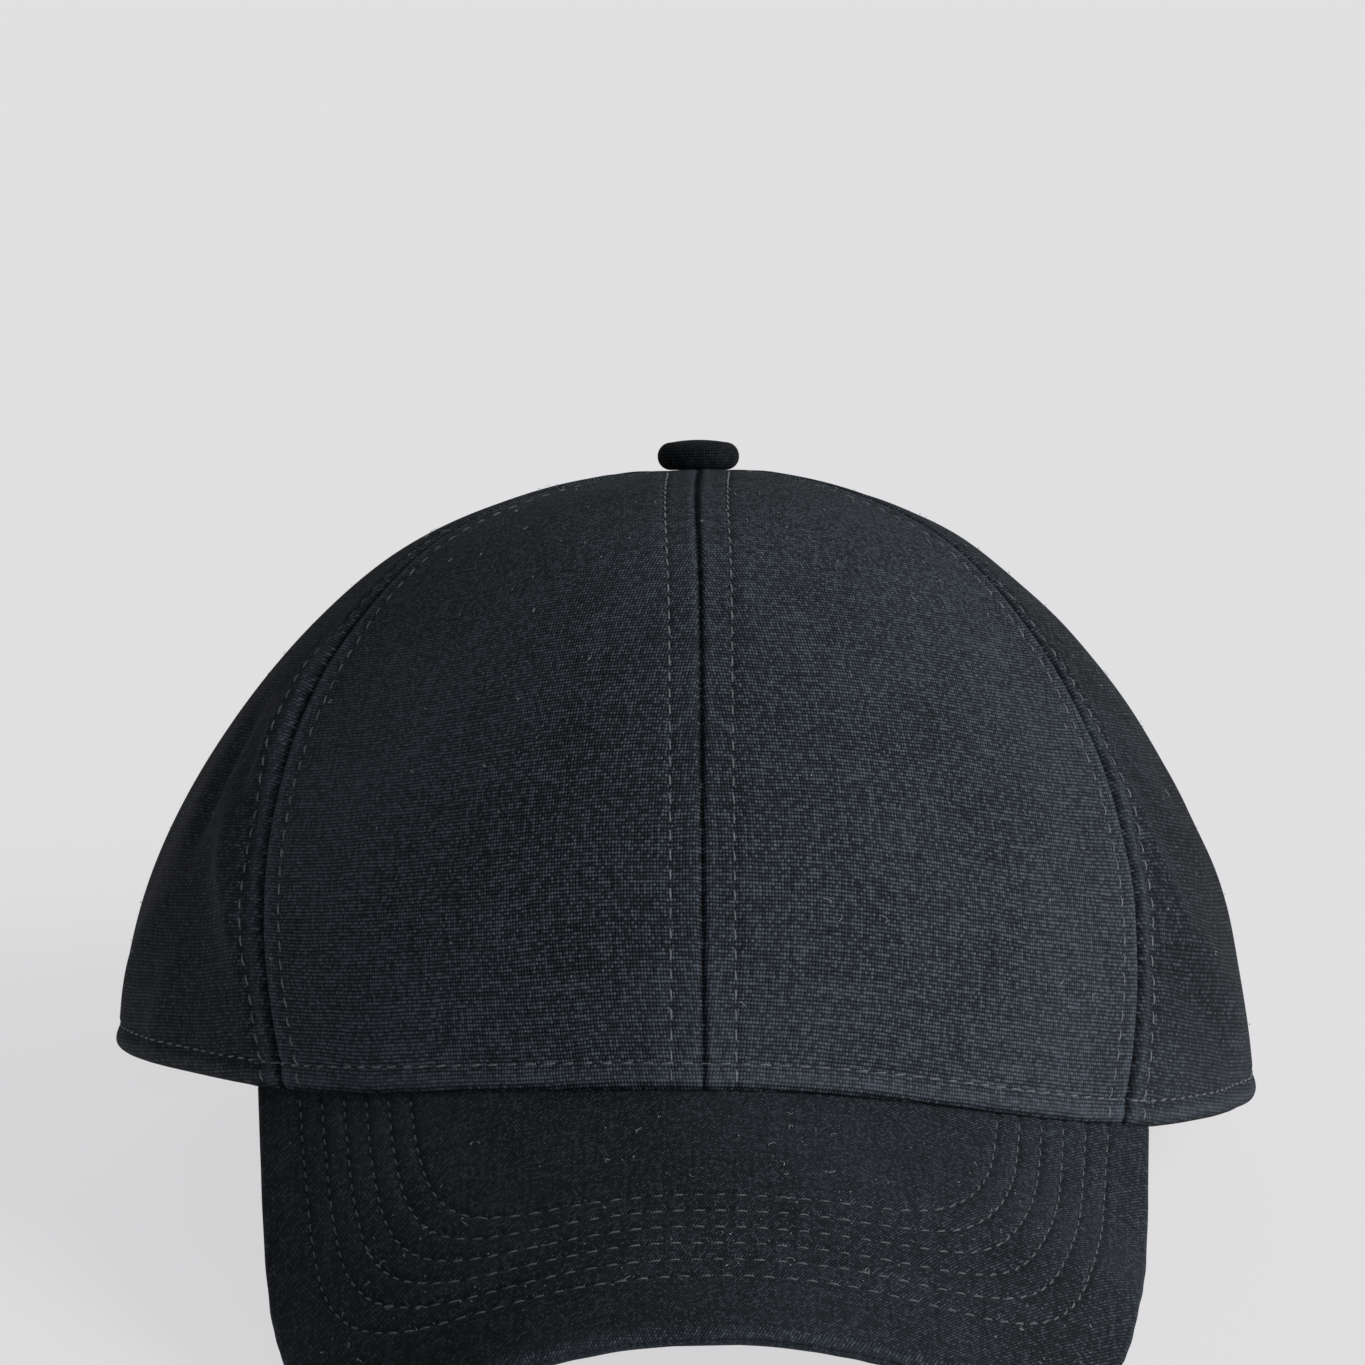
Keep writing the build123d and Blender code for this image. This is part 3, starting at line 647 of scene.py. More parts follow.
# ---------------------------------------------------------------- stitches
def stitches(name, runs, material, slot, pitch=STITCH_PITCH, long=STITCH_LONG, radius=THREAD, body="cap"):
    """Each run is (points, normals). Every stitch dips into the cloth at both ends."""
    ring = 6
    stations = np.array([0.0, 0.12, 0.32, 0.5, 0.68, 0.88, 1.0])
    lift = np.array([-0.24, 0.0, 0.10, 0.13, 0.10, 0.0, -0.24])
    fat = np.array([0.35, 0.85, 1.0, 1.0, 1.0, 0.85, 0.35])
    verts, faces, cloth = [], [], []
    count = 0
    for points, normals in runs:
        along = lengths(points, 0)
        total = along[-1]
        n = int(total / pitch)
        for k in range(n):
            begin = (k + 0.12) * total / n + rng.normal(0, 0.05)
            at = begin + stations * (long + rng.normal(0, 0.08))
            at = np.clip(at, 0, total)
            centre = np.stack([np.interp(at, along, points[:, i]) for i in range(3)], -1)
            nor = np.stack([np.interp(at, along, normals[:, i]) for i in range(3)], -1)
            nor = unit(nor)
            across = unit(np.cross(nor, unit(centre[-1] - centre[0])))
            skew = rng.normal(0.16, 0.08)
            centre = centre + nor * lift[:, None] + across * (skew * (stations - 0.5))[:, None]
            angle = np.arange(ring) * 2 * pi / ring
            around = np.cos(angle)[None, :, None] * across[:, None, :]
            around = around + 0.8 * np.sin(angle)[None, :, None] * nor[:, None, :]
            rings = centre[:, None, :] + around * (radius * fat)[:, None, None]
            verts.append(rings.reshape(-1, 3))
            faces.append(grid_faces(len(stations), ring, count * len(stations) * ring, wrap=True))
            first = count * len(stations) * ring
            last = first + (len(stations) - 1) * ring
            for b, flip in ((first, True), (last, False)):
                cap = [[b, b + 1, b + 2, b + 3], [b, b + 3, b + 4, b + 5]]
                faces.append(np.array([c[::-1] if flip else c for c in cap]))
            cloth.append(stack(np.arange(ring) * 0.2, at[:, None], 0.0).reshape(-1, 3))
            count += 1
    verts, faces, cloth = (np.concatenate(part) for part in (verts, faces, cloth))
    return piece(name, verts, faces, material, slot, cloth, body=body)


def crown_run(turn, side=1, start=0.0, stop=85.5, back_arch=False):
    """A line up the crown. turn(lat) gives its turn; it starts at the cap's edge plus start millimetres."""
    lat = np.linspace(radians(-1), radians(stop), 400)
    u = turn(lat)
    p = crown(u, lat)
    floor_z = lower_edge(p[:, 0], p[:, 1])
    if back_arch:
        inside = np.maximum(1 - (p[:, 0] / ARCH_HALF) ** 2, 0)
        floor_z = ZB + (ARCH_HEIGHT + 4.6) * np.sqrt(inside)
    keep = p[:, 2] > floor_z + start
    u, lat = u[keep] * side, lat[keep]
    return crown_cloth(u, lat), crown_normal(u, lat)


runs = []
for side in (-1, 1):
    runs.append(crown_run(lambda lat: centre_turn(lat, TOPSTITCH), side, 0.6))
    runs.append(crown_run(lambda lat: centre_turn(lat, TOPSTITCH, True), side, 0.6, back_arch=True))
    for offset in (-SIDE_STITCH, SIDE_STITCH):
        runs.append(crown_run(lambda lat: front_seam_turn(lat, offset), side, 0.6))
        runs.append(crown_run(lambda lat: rear_seam_turn(lat, offset), side, 0.6))
stitches("crown_topstitch", runs, seam_thread, "canvas")


def edge_run(start, stop, height, n=900):
    """A line round the crown's edge, height above it."""
    u = np.linspace(start, stop, n)

    def above(lat):
        p = crown(u, lat)
        return p[..., 2] - lower_edge(p[..., 0], p[..., 1]) - height
    lat = solve(above, -0.05, 1.0, n)
    return crown_cloth(u, lat), crown_normal(u, lat)


ARCH_TURN = pi - math.asin((ARCH_HALF + 4.8) / HALF)
stitches("rim_stitch", [edge_run(-ARCH_TURN, ARCH_TURN, 4.0)], thread, "canvas")


# ---------------------------------------------------------------- bill
def outline(turn, inset=0.0):
    """Point of the bill's outline, from the right corner round the front to the left corner."""
    c, s = np.cos(turn), np.sin(turn)
    y = SC + (BILL_LENGTH - inset - SC) * np.abs(s) ** (2 / BILL_POWER)
    x = (BILL_HALF - inset - BILL_TAPER * (y - SC)) * np.sign(c) * np.abs(c) ** (2 / BILL_POWER)
    return x, y


ROW_POWER, ROW_TAPER = 5.3, 0.07


def row_size(q):
    """Half width and reach of stitch row q, counted from the outermost."""
    return 63.3 - 3.35 * q, 48.0 - 4.15 * q


def row_outline(turn, i):
    """One row of stitching: closer together at the sides than at the front."""
    c, s = np.cos(turn), np.sin(turn)
    half, reach = row_size(i)
    y = SC + (reach - SC) * np.abs(s) ** (2 / ROW_POWER)
    return (half - ROW_TAPER * (y - SC)) * np.sign(c) * np.abs(c) ** (2 / ROW_POWER), y


def row_number(x, s):
    """Which stitch row a point of the bill lies on, as a real number."""
    def f(q):
        half, reach = row_size(q)
        half = np.maximum(half - ROW_TAPER * (s - SC), 1.0)
        reach = np.maximum(reach - SC, 1.0)
        return (np.abs(x) / half) ** ROW_POWER + (np.maximum(s - SC, 0) / reach) ** ROW_POWER - 1
    return solve(f, -6.0, 14.0, x.shape, 30)


def bill_relief(x, s, sign=1):
    q = row_number(x, s)
    near = np.round(np.clip(q, 0, 5))
    d = (q - near) * 3.8
    h = -0.42 * bump(d, 0, 0.42)
    between = np.where((q > -0.4) & (q < 5.4), 1.0, 0.0)
    h += 0.035 * between * np.cos(2 * pi * (q - 0.5))
    pts = stack(x, s, 0.0)
    h += 0.16 * waves(pts, 38, 11 + sign) + 0.05 * waves(pts, 9, 21 + sign)
    return h


def wall_s(x, inset):
    """How far back along the bill the crown's wall stands at x."""
    def f(s):
        p = bill(x, s)
        c = np.sqrt(np.maximum(1 - (np.maximum(p[..., 2], 0) / (TOP - inset)) ** 2, 0))
        half = (HALF - inset) * c ** SIDE_POWER
        reach = (FRONT - inset) * c ** FRONT_POWER
        u = solve(lambda u: half * np.sin(u) * (1 - SQUARE * c * np.cos(u) ** 2) - np.abs(p[..., 0]),
                  0, pi / 2, x.shape, 30)
        return -(p[..., 1] + reach * np.cos(u))
    return solve(f, -44.0, 8.0, x.shape, 36)


EDGE_R = BILL_THICK / 2


def bill_grid(cols, rows, inset):
    """(x, s) of a grid from the crown's wall out to the outline less inset."""
    half_turn = np.linspace(-1.0, 1.0, cols)
    eased = 0.38 * np.abs(half_turn) ** 2.3 + 0.62 * np.abs(half_turn)    # closer together at the corners
    turn = pi / 2 * (1 + np.sign(half_turn) * eased)
    xo, so = outline(turn, inset)
    xi = np.cos(turn) * xo[0] * 0.997
    si = wall_s(xi, 2.45)
    so = np.maximum(so, si + 0.02)
    t = np.linspace(0, 1, rows)
    t = (1 - (1 - t) ** 1.25)[:, None]
    return xi + (xo - xi) * t, si + (so - si) * t, turn


def bill_cover(name, node, top):
    """The cloth over or under the bill's board, rolled round its edge to meet the other."""
    cols, rows, thick = 350, 128, 0.75
    x, s, turn = bill_grid(cols, rows, EDGE_R)
    sign, depth = (1, 0.0) if top else (-1, BILL_THICK)
    base = bill(x, s, depth)
    up = bill(x, s, depth - 1.0) - base
    fade = smooth((rows - 1 - np.arange(rows)) / 4.0)[:, None]
    outer = base + up * (bill_relief(x, s, sign) * fade * sign)[..., None]
    # the rolled edge
    xr, sr = outline(turn, EDGE_R)
    xo, so = outline(turn, 0.0)
    sr, so = np.maximum(sr, s[0]), np.maximum(so, s[0])
    middle = bill(xr, sr, EDGE_R)
    outward = unit(bill(xo, so, EDGE_R) - middle, 1e-6)
    upward = (bill(xr, sr, 0) - bill(xr, sr, 1.0)) * sign
    angles = np.radians(np.array([15, 32, 50, 66, 78, 86, 90.0]))
    tuck = np.array([0, 0, 0, 0, 0.04, 0.16, 0.45])
    wave = 0.05 * np.sin(np.arange(cols) * 0.9) + 0.05 * waves(stack(xr, sr, 0.0), 12, 31)

    def roll(r, a):
        r = np.zeros(cols) + r
        return middle + outward * (r * sin(a))[:, None] + upward * (r * cos(a))[:, None]
    outer = np.concatenate([outer, [roll(EDGE_R - k + wave * sin(a), a) for a, k in zip(angles, tuck)]])
    inner_x, inner_s, _ = bill_grid(cols, rows, EDGE_R + 0.1)
    inner = bill(inner_x, inner_s, thick if top else BILL_THICK - thick)
    inner = np.concatenate([inner, [roll(EDGE_R - thick, a) for a in angles]])
    x, s = (np.concatenate([a, np.repeat(b[None], len(angles), 0)]) for a, b in ((x, xr), (s, sr)))
    # 0 on the flat, then 1, 2, ... round the roll
    step = np.maximum(np.arange(len(s)) - rows + 1, 0)[:, None]
    cloth = stack(x, s + 0.4 * step, 0.35 * (step > 0) + 0.092)
    sheet(name, bill_lean(outer, s), bill_lean(inner, s), cloth, twill, "twill", replaces=(node,))


bill_cover("bill_top_cloth", "bill_top_cover", True)
bill_cover("bill_under_cloth", "bill_under_cover", False)

x, s, _ = bill_grid(160, 40, 1.9)
sheet("bill_board_core", bill_lean(bill(x, s, 0.95), s), bill_lean(bill(x, s, 2.35), s),
      stack(x, s, 0.0), board_mat, "board", replaces=("bill_board",))


def bill_row(i, top):
    turn = np.linspace(0.0, pi, 1200)
    x, s = row_outline(turn, i)
    keep = s > wall_s(x, 0.4) + 0.3
    x, s = x[keep], s[keep]
    depth = 0.0 if top else BILL_THICK
    base = bill(x, s, depth)
    up = bill(x, s, depth - 1) - base
    sign = 1 if top else -1
    p = base + up * (bill_relief(x, s, sign) * sign)[:, None]
    return bill_lean(p, s), up * sign


for top, name in ((True, "bill_stitch_top"), (False, "bill_stitch_under")):
    stitches(name, [bill_row(i, top) for i in range(6)], bill_thread if top else dark_thread, "twill")


# ---------------------------------------------------------------- inside of the crown
def sweatband():
    """The band inside the edge, its lower edge flared at the sides but not where the strap slides."""
    inset, width, thick = 3.1, 34, 0.85
    turns = np.linspace(-1, 1, 520)[None, :] * (pi - radians(33.0))
    t = np.linspace(0, 1, width)[:, None]
    low = RIM + math.tan(RIM_SLOPE) * crown(turns, 0.0, inset)[..., 1] + 0.2
    heights = low + (RIM + 31.8 - low) * t
    sway = 0.5 * waves(stack(np.sin(turns) * 80, np.cos(turns) * 80, 0.0), 45, 41) * smooth(t * 1.5)
    flare = smooth((np.abs(turns) - radians(52)) / 0.1) * (1 - smooth(t * 8))
    flare = flare * 1.7 * (1 - smooth((np.abs(turns) - radians(116)) / 0.12))
    base = crown(turns, np.arcsin(np.clip(heights / (TOP - inset - 0.05), -1, 1)), inset + 0.05)
    normal = crown_normal(turns, np.arcsin(np.clip(heights / (TOP - inset), -1, 1)))
    quilt = -0.18 * bump(t * width, 2.6, 0.6) - 0.18 * bump(t * width, 31.4, 0.6)
    out = flare + np.minimum(sway, 0) * 0.8
    outer = base + out[..., None] * normal
    inner = base + (out - thick - quilt)[..., None] * normal
    cloth = cloth_coords(base, 0.6 * bump(t * width, width, 1.2))
    sheet("sweatband_cloth", lean(outer), lean(inner), cloth, band_cloth, "sweatband", replaces=("sweatband",))
    rows = [round(where / width * (width - 1)) for where in (2.6, 31.4)]
    stitches("sweatband_stitch", [(lean(inner[k]), -normal[k]) for k in rows], dark_thread, "sweatband")


sweatband()


def tape_strip(name, node, turn, side, half=5.9, arch=False):
    """A tape over a seam, seen from inside. turn(lat, offset) gives the line beside the seam."""
    offsets = np.linspace(-half, half, 25)
    lat = np.linspace(radians(-0.5), radians(86.5), 150)
    start = []
    for o in offsets:
        p = crown(turn(lat, o), lat)
        edge = lower_edge(p[:, 0], p[:, 1]) + 0.8
        if arch:
            edge = ZB + (ARCH_HEIGHT + 5.0) * np.sqrt(np.maximum(1 - (p[:, 0] / ARCH_HALF) ** 2, 0))
        start.append(lat[np.argmax(p[:, 2] > edge)])
    start = np.array(start)
    t = np.linspace(0, 1, 120)[:, None]
    grid = start[None, :] + (radians(86.5) - start[None, :]) * t
    centre = crown(turn(grid[:, 12], 0 * grid[:, 12]), grid[:, 12])
    room = np.hypot(centre[:, 0], centre[:, 1]) * 0.50
    width = np.minimum(1.0, np.maximum(room, 0.8) / half)[:, None]
    u = turn(grid, offsets[None, :] * width)
    inset = 1.85
    p = crown(u, grid, inset) * np.array([side, 1, 1])
    n = crown_normal(u, grid) * np.array([side, 1, 1])
    ripple = 0.10 * np.sin(lengths(p, 0) * 2 * pi / STITCH_PITCH)
    ripple *= bump(np.abs(offsets[None, :] * width), TOPSTITCH, 1.0)
    hump = 0.35 * bump(offsets[None, :], 0, 1.6)
    inner = p - n * (0.5 + ripple + hump)[..., None]
    cloth = cloth_coords(p, 0 * grid)
    sheet(name, lean(p), lean(inner), cloth, tape_cloth, "tape", replaces=(node,))


def centre_line(lat, offset, back=False):
    """Turn of a line beside the centre seam, on either side of it."""
    lat, offset = np.broadcast_arrays(np.asarray(lat, float), np.asarray(offset, float))
    u = centre_turn(lat, np.abs(offset), back)
    if back:
        return np.where(offset < 0, 2 * pi - u, u)
    return np.where(offset < 0, -u, u)


tape_strip("front_tape_cloth", "seam_tape_front", centre_line, 1)
tape_strip("back_tape_cloth", "seam_tape_back", lambda lat, o: centre_line(lat, o, True), 1, arch=True)
for word, side in (("left", -1), ("right", 1)):
    tape_strip(f"side_tape_{word}_cloth", f"seam_tape_side_{word}", front_seam_turn, side)
    tape_strip(f"rear_tape_{word}_cloth", f"seam_tape_rear_{word}", rear_seam_turn, side)

for word, side in (("left", -1), ("right", 1)):
    w = np.linspace(0.02, 0.98, 70)
    bottom = bottom_latitude("front", w) + 0.006
    t = np.linspace(0, 1, 90)[:, None]
    lat = bottom[None, :] + (radians(84) - bottom[None, :]) * t
    u = panel_turns("front", lat, w[None, :])
    flip = np.array([side, 1, 1])
    p = crown(u, lat, 1.1) * flip
    n = crown_normal(u, lat) * flip
    sheet(f"buckram_{word}_mesh", lean(p), lean(p - n * 0.6), cloth_coords(p, 0 * lat),
          stiff_cloth, "stiffener",
          replaces=(f"buckram_{word}",))


# ---------------------------------------------------------------- button
def button():
    """The covered button: a rounded side, a slightly domed top, and cloth gathered under it."""
    radius, bottom, corner, around = 6.62, 99.35, 2.2, 120
    flat = radius - corner
    turn = np.linspace(0, 2 * pi, around, endpoint=False)[None, :]
    prof = [(radius - 3.2, bottom + 0.3)]
    for a in np.radians(np.linspace(-90, 90, 26)):
        prof.append((flat + corner * cos(a), bottom + 2.25 + 2.25 * sin(a)))
    for k in np.linspace(0, 1, 16)[1:]:
        r = flat * (1 - k)
        prof.append((max(r, 0.02), bottom + 4.5 + 0.4 * (1 - (r / flat) ** 2)))
    r, z = np.array(prof).T[..., None]
    pucker = 0.10 * np.sin(turn * 13 + 0.7 * np.sin(turn * 3)) * bump(z, bottom + 0.6, 1.3)
    soft = 0.06 * np.sin(turn * 5 + 1) * bump(z, bottom + 3.0, 1.6)
    rr = r + (pucker + soft) * (r > 1)
    pts = stack(rr * np.sin(turn), -rr * np.cos(turn), z)
    n = len(prof) * around
    top = n - around
    verts = np.concatenate([pts.reshape(-1, 3), [[0, 0, prof[-1][1]], [0, 0, prof[0][1]]]])
    over = z > bottom + 4.3
    cloth = stack(np.where(over, pts[..., 0], turn * radius), np.where(over, pts[..., 1], lengths(pts, 0)),
                  0.5 * bump(z, bottom + 4.2, 0.8))
    cloth = np.concatenate([cloth.reshape(-1, 3), np.zeros((2, 3))])
    ends = []
    for j in range(0, around, 2):
        ends.append([top + j, top + j + 1, top + (j + 2) % around, n])
        ends.append([(j + 2) % around, j + 1, j, n + 1])
    faces = np.concatenate([grid_faces(len(prof), around, wrap=True), ends])
    piece("button_cloth", verts, faces, button_canvas, "canvas", cloth, replaces=("button_cover",))


button()


# ---------------------------------------------------------------- back arch, strap, tab, label
def wall(x, z, inset):
    """Point of the crown's round back at x and z, this far inside."""
    c = np.sqrt(np.maximum(1 - (np.maximum(z, 0) / (TOP - inset)) ** 2, 1e-6))
    r = (HALF - inset) * c ** SIDE_POWER
    return stack(x, np.sqrt(np.maximum(r * r - x * x, 0)), z)


def binding():
    """The strip folded over the arch's edge: its section runs outside, round the edge and back inside."""
    steps = 420
    turn = np.radians(np.linspace(-90.0, 90.0, steps))
    section = [
        (4.5, 0.06), (4.5, 0.42), (4.2, 0.60), (2.6, 0.56), (1.4, 0.62), (0.3, 0.62), (-0.25, 0.42),
        (-0.55, 0.0), (-0.6, -0.5), (-0.55, -1.05), (-0.25, -1.42), (0.3, -1.6), (1.4, -1.56),
        (2.6, -1.5), (4.2, -1.52), (4.5, -1.4), (4.5, -1.06), (0.2, -1.06), (0.2, 0.06)]
    ripple = 0.07 * np.sin(np.arange(steps) * 2 * pi / 7.3)
    rows = []
    for e, n in section:
        x = (ARCH_HALF + e) * np.sin(turn)
        z = ZB + (ARCH_HEIGHT + e) * np.cos(turn) + 0.3 * (np.abs(np.sin(turn)) > 0.9999)
        rows.append(wall(x, z, -(n + ripple * bump(e, 3.4, 1.4))))
    pts = np.stack(rows, 1)
    k = len(section)
    ends = [range(k), range(steps * k - 1, (steps - 1) * k - 1, -1)]
    quads = [[e[j], e[j + 1], e[k - 3 - j], e[k - 2 - j]] for e in ends for j in range(7)]
    faces = np.concatenate([grid_faces(steps, k, wrap=True), quads])
    cloth = stack(lengths(np.array(section)[None], 1), lengths(pts, 0), 0.3).reshape(-1, 3)
    piece("arch_binding_cloth", pts, faces, tape_cloth, "canvas", cloth, replaces=("arch_binding",))
    x = (ARCH_HALF + 3.4) * np.sin(turn[6:-6])
    z = ZB + (ARCH_HEIGHT + 3.4) * np.cos(turn[6:-6])
    outside, inside = wall(x, z, -0.60), wall(x, z, 1.52)
    n = unit(outside * np.array([1, 1, 0.15]))
    stitches("arch_stitch", [(outside, n), (inside, -n)], thread, "canvas", pitch=2.9, long=2.2)


binding()


def strap():
    turn = np.radians(np.linspace(-44.8, 44.8, 460))[None, :]
    z = STRAP_LOW + STRAP_WIDTH * spread(34, (0, 0.1, 0.25, 0.45, 0.7), STRAP_WIDTH)[:, None]
    edge = np.minimum(z - STRAP_LOW, STRAP_LOW + STRAP_WIDTH - z)
    r0 = 0.45
    half = r0 * np.sqrt(np.clip(1 - (1 - np.minimum(edge, r0) / r0) ** 2, 0.02, 1))
    half = half - 0.06 * bump(edge, 2.4, 0.4)
    mid = STRAP_INSET + 0.05 * np.sin(turn * 21)
    c = np.sqrt(1 - (z / (TOP - STRAP_INSET)) ** 2)

    def at(offset):
        r = (HALF - mid + offset) * c ** SIDE_POWER
        return stack(r * np.sin(turn), r * np.cos(turn), z)
    outer, inner = at(half), at(-half)
    cloth = cloth_coords(outer, 0.6 * bump(edge, 0.2, 0.5))
    sheet("strap_cloth", outer, inner, cloth, strap_cloth, "canvas", body="strap", replaces=("strap",))
    runs = []
    for level in (STRAP_LOW + 2.4, STRAP_LOW + STRAP_WIDTH - 2.4):
        k = int(np.argmin(np.abs(z[:, 0] - level)))
        n = unit(outer[k] * np.array([1, 1, 0]))
        runs += [(outer[k], n), (inner[k], -n)]
    stitches("strap_stitch", runs, thread, "canvas", pitch=2.9, long=2.2, body="strap")


strap()

# the buckle's own frame: x towards the tab, y outwards, z up the wall
_low, _high = STRAP_LOW, STRAP_LOW + STRAP_WIDTH
_middle = (_low + _high) / 2
_radius = lambda z, inset: (HALF - inset) * math.sqrt(1 - (z / (TOP - inset)) ** 2) ** SIDE_POWER
_lean = math.atan2(_radius(_low, STRAP_INSET) - _radius(_high, STRAP_INSET), STRAP_WIDTH)
_azimuth = radians(90 - 15)
_radial = np.array([cos(_azimuth), sin(_azimuth), 0])
_tangent = np.array([sin(_azimuth), -cos(_azimuth), 0])
_upward = np.array([0, 0, cos(_lean)]) - _radial * sin(_lean)
_outward = np.cross(_upward, _tangent)
_centre = _radial * _radius(_middle, STRAP_INSET) + np.array([0, 0, _middle])


def buckle_point(x, y, z):
    x, y, z = np.broadcast_arrays(x, y, z)
    return _centre + x[..., None] * _tangent + y[..., None] * _outward + z[..., None] * _upward


def tab():
    """A short strip that runs from the side of the arch round the buckle's bar."""
    bar_x, bar_y, loop = 8.5, 3.25, 1.32
    turn = np.radians(np.linspace(36.8, 22.4, 30))
    r = _radius(_middle, -0.95)
    line = stack(r * np.sin(turn), r * np.cos(turn), _middle) - _centre
    a = np.radians(np.linspace(62, -262, 44))
    arc = stack(bar_x + loop * np.cos(a), bar_y + loop * np.sin(a))
    path = np.concatenate([stack(line @ _tangent, line @ _outward), arc])
    along = lengths(path[:, None, :], 0)
    ahead = unit(np.gradient(path, axis=0))
    w = np.linspace(-7, 7, 30)[None, :]
    thick = 0.33 * np.sqrt(np.clip(1 - (np.clip(np.abs(w) - 6.6, 0, 0.4) / 0.4) ** 2, 0.05, 1))

    def at(k):
        return buckle_point(path[:, :1] + ahead[:, 1:] * k * thick, path[:, 1:] - ahead[:, :1] * k * thick, w)
    one, two = at(1.0), at(-1.0)
    sheet("buckle_tab_cloth", one, two, stack(w, along, 0.0), strap_cloth, "canvas", replaces=("buckle_tab",))
    # a box of stitches that fixes the tab to the edge of the arch
    top = one if (one[5, 15] - two[5, 15]) @ _outward > 0 else two
    up = np.repeat(_outward[None], 24, 0)
    runs = [(top[k, 3:-3], up) for k in (2, 24)] + [(top[2:25, k], up[:23]) for k in (3, 26)]
    stitches("buckle_tab_stitch", runs, thread, "canvas", pitch=2.6, long=1.9, radius=0.2)


tab()


def label():
    """A blank label hanging inside the sweatband."""
    wide, tall = 20, 27.8
    turns = np.radians(180 + 50.0 + np.linspace(0, math.degrees(wide / HALF), 30))[None, :]
    t = np.linspace(0, 1, 40)[:, None]
    curl = 0.9 * (1 - t) ** 2 + 0.15 * np.sin(turns * 30) * (1 - t)
    lat = np.arcsin((ZB + 1.6 + tall * t) / (TOP - 4.0))
    p, n = crown(turns, lat, 4.05), crown_normal(turns, lat)
    outer = p - n * curl[..., None]
    inner = outer - n * 0.28
    woven = sheet("care_label_cloth", outer, inner, cloth_coords(p, 0.0), label_cloth, "label",
                  replaces=("care_label",))
    runs = [(inner[37, 1:-1], -n[37, 1:-1])]
    stitches("care_label_stitch", runs, dark_thread, "label", pitch=2.4, long=1.8, radius=0.18)


label()

# ---------------------------------------------------------------- CAD nodes that stay: metal
for node, mat, width in (("buckle_frame", buckle_metal, 0.00018), ("buckle_pin", buckle_metal, 0.00015),
                         ("buckle_lever", buckle_metal, 0.00020), ("button_shell", steel, 0.0),
                         ("button_rivet", steel, 0.0001)):
    obj = frame["nodes"][node]
    obj.data.materials.clear()
    obj.data.materials.append(mat)
    if width:
        bevel = obj.modifiers.new("edges", "BEVEL")
        bevel.width = width
        bevel.segments = 2
        bevel.limit_method = "ANGLE"
        bevel.angle_limit = radians(35)


# ---------------------------------------------------------------- lint: short curled fibres lying on the cloth
def fibres(count):
    """Short curled fibres, some on the bill and most on the crown, n points each."""
    verts, faces, made, n = [], [], 0, 9
    g = np.random.default_rng(99)
    while made < count:
        on_bill = g.random() < 0.30
        if on_bill:
            start = np.array([g.uniform(-58, 58), g.uniform(4, 50)])
        else:
            start = np.array([g.uniform(-2.9, 2.9), g.uniform(0.12, 1.35)])
        heading = g.uniform(0, 6.28)
        length = 0.35 + 1.5 * g.random() ** 3
        turn_rate = g.normal(0, 1.0)
        pts = [start]
        for k in range(n):
            heading += turn_rate * 0.35 + g.normal(0, 0.25)
            d = np.array([cos(heading), sin(heading)]) * length / n
            pts.append(pts[-1] + (d if on_bill else d / 88.0))
        pts = np.array(pts[:n])
        if on_bill:
            x, s = pts[:, 0], pts[:, 1]
            base = bill(x, s)
            up = bill(x, s, -1) - base
            p = bill_lean(base + up * (bill_relief(x, s) + 0.10)[:, None], s)
            nor = up
        else:
            u, lat = pts[:, 0], pts[:, 1]
            low = lower_edge(*np.moveaxis(crown(u, lat), -1, 0)[:2])
            if np.any(crown(u, lat)[:, 2] < low + 6) or np.any(np.abs(np.abs(u) - pi) < 0.55):
                continue
            p = crown_cloth(u, lat, 0.12)
            nor = crown_normal(u, lat)
        p = p + nor * (np.abs(g.normal(0, 0.12, n)))[:, None]
        a = unit(np.cross(nor, unit(np.gradient(p, axis=0))))
        r = g.uniform(0.03, 0.05)
        ring = np.stack([p + a * r, p + nor * r, p - a * r, p - nor * r * 0.5], 1)
        base_i = made * n * 4
        verts.append(ring.reshape(-1, 3))
        faces.append(grid_faces(n, 4, base_i, wrap=True))
        faces.append(np.array([[base_i + 3, base_i + 2, base_i + 1, base_i],
                               [base_i + (n - 1) * 4 + j for j in range(4)]]))
        made += 1
    piece("lint_fibres", np.concatenate(verts), np.concatenate(faces), lint_mat, "canvas")


fibres(420)

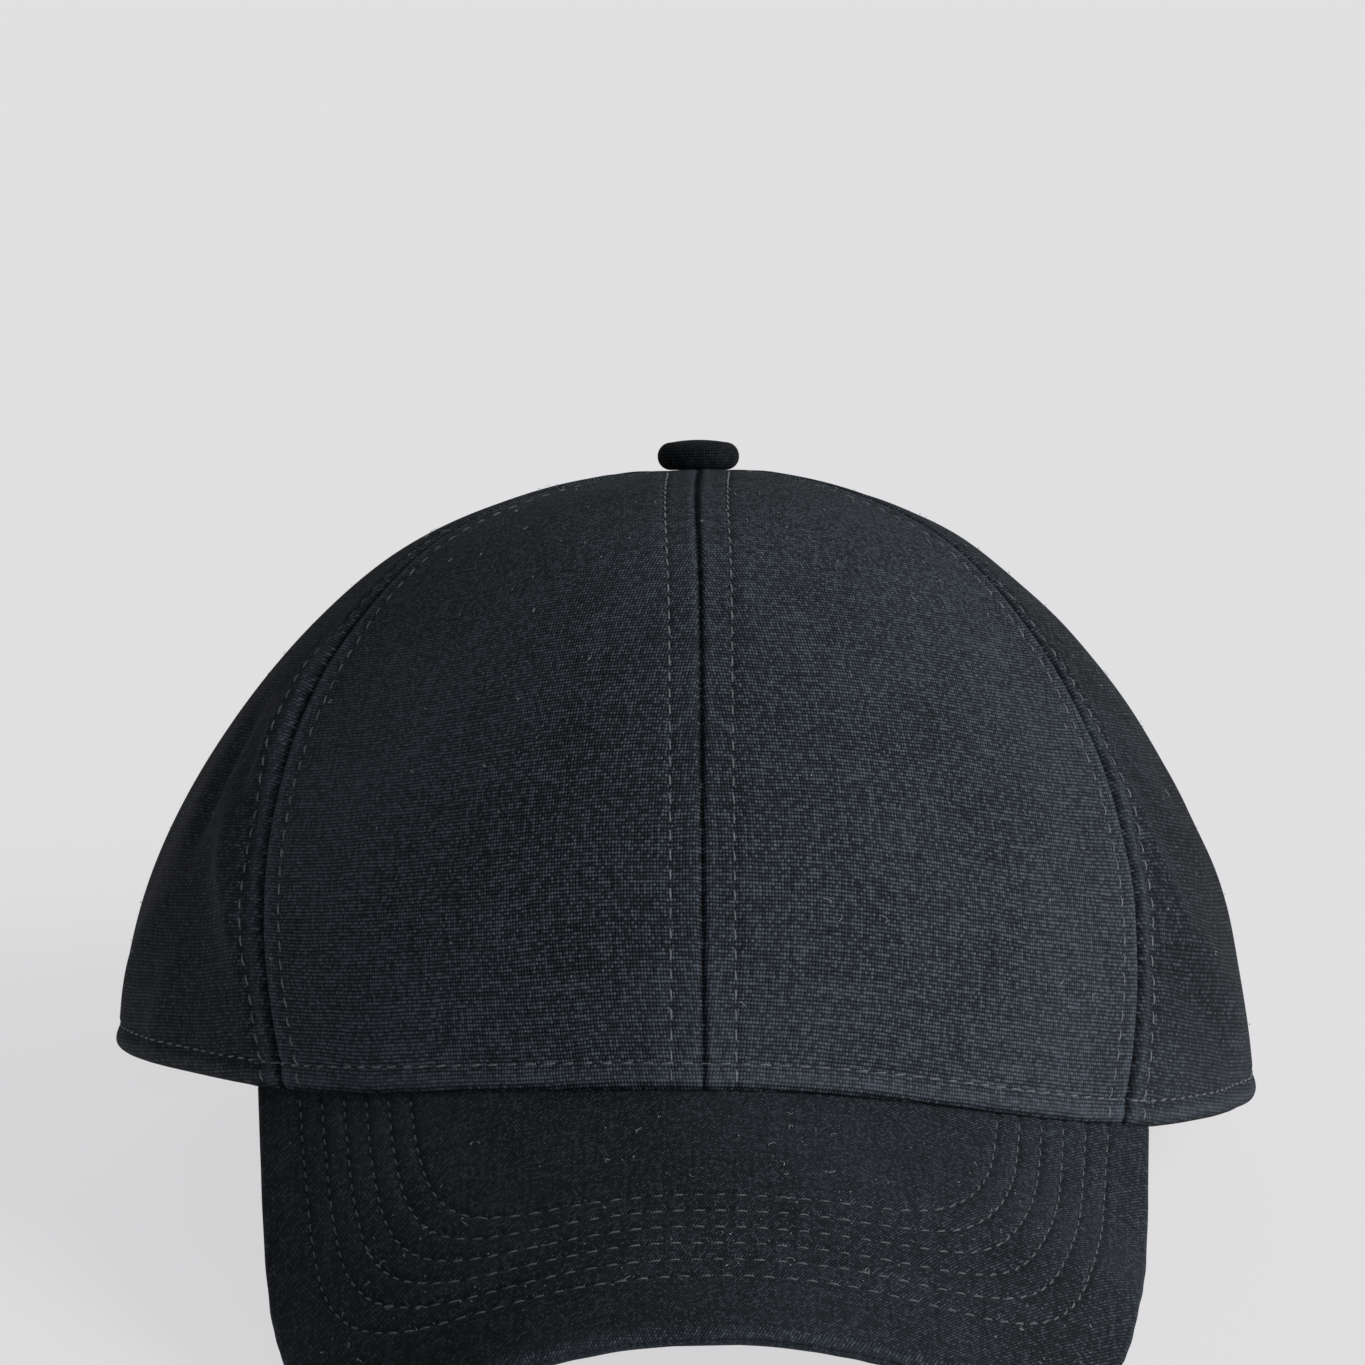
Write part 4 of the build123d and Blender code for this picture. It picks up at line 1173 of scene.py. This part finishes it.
# ---------------------------------------------------------------- floor, light, camera
floor_mesh = bpy.data.meshes.new("floor")
floor_mesh.from_pydata([(-6, -6, 0), (6, -6, 0), (6, 9, 0), (-6, 9, 0)], [], [(0, 1, 2, 3)])
floor = bpy.data.objects.new("floor", floor_mesh)
bpy.context.scene.collection.objects.link(floor)
g = Nodes("floor_paper")
paper = g.mix(g.noise(g.place(), 400.0, 3.0), (0.14, 0.139, 0.141, 1), (0.155, 0.154, 0.156, 1))
floor_mesh.materials.append(g.shade({
    "Base Color": paper, "Roughness": 0.95, "Specular IOR Level": 0.1,
    "Emission Color": (0.76, 0.752, 0.767, 1), "Emission Strength": 0.845}))

world = bpy.data.worlds.new("studio")
bpy.context.scene.world = world
world.use_nodes = True
sky = world.node_tree.nodes["Background"].inputs
sky["Color"].default_value, sky["Strength"].default_value = (0.80, 0.81, 0.83, 1), 0.03


def sun(name, azimuth, elevation, strength, angle, colour=(1, 1, 1)):
    """A soft distant light; azimuth 0 comes from the camera's side, 90 from +X."""
    data = bpy.data.lights.new(name, "SUN")
    data.energy = strength
    data.angle = radians(angle)
    data.color = colour
    obj = bpy.data.objects.new(name, data)
    a, e = radians(azimuth), radians(elevation)
    direction = Vector((sin(a) * cos(e), -cos(a) * cos(e), sin(e)))
    obj.rotation_euler = direction.to_track_quat("Z", "Y").to_euler()
    bpy.context.scene.collection.objects.link(obj)


sun("key", 56, 27, 2.75, 32, (1.0, 0.985, 0.965))
sun("fill", 5, 15, 0.78, 20, (0.92, 0.96, 1.0))
sun("back", 183, 38, 0.5, 60)
sun("edge", 100, 20, 1.05, 40)

camera_data = bpy.data.cameras.new("camera")
camera = bpy.data.objects.new("camera", camera_data)
bpy.context.scene.collection.objects.link(camera)
bpy.context.scene.camera = camera
PX_PER_MM, DISTANCE, IMAGE = 6.15, 1500.0, 1365.0
camera_data.sensor_width = 36.0
camera_data.lens = 36.0 * PX_PER_MM * DISTANCE / IMAGE
ASIDE, BELOW = -2.8, 34.2                     # the picture's middle, left of the crown's and under its top
aim = to_row([ASIDE, 0, TOP - BELOW])
eye = to_row([ASIDE, -DISTANCE, TOP])
look = Vector(aim - eye).to_track_quat("-Z", "Y").to_matrix().to_4x4()
roll = Matrix.Rotation(radians(-0.4), 4, "Z")
camera.matrix_world = Matrix.Translation(Vector(eye)) @ look @ roll
camera_data.dof.use_dof = False
camera_data.clip_end = 50.0
bpy.context.scene.view_settings.view_transform = "Standard"

bpy.context.view_layer.update()
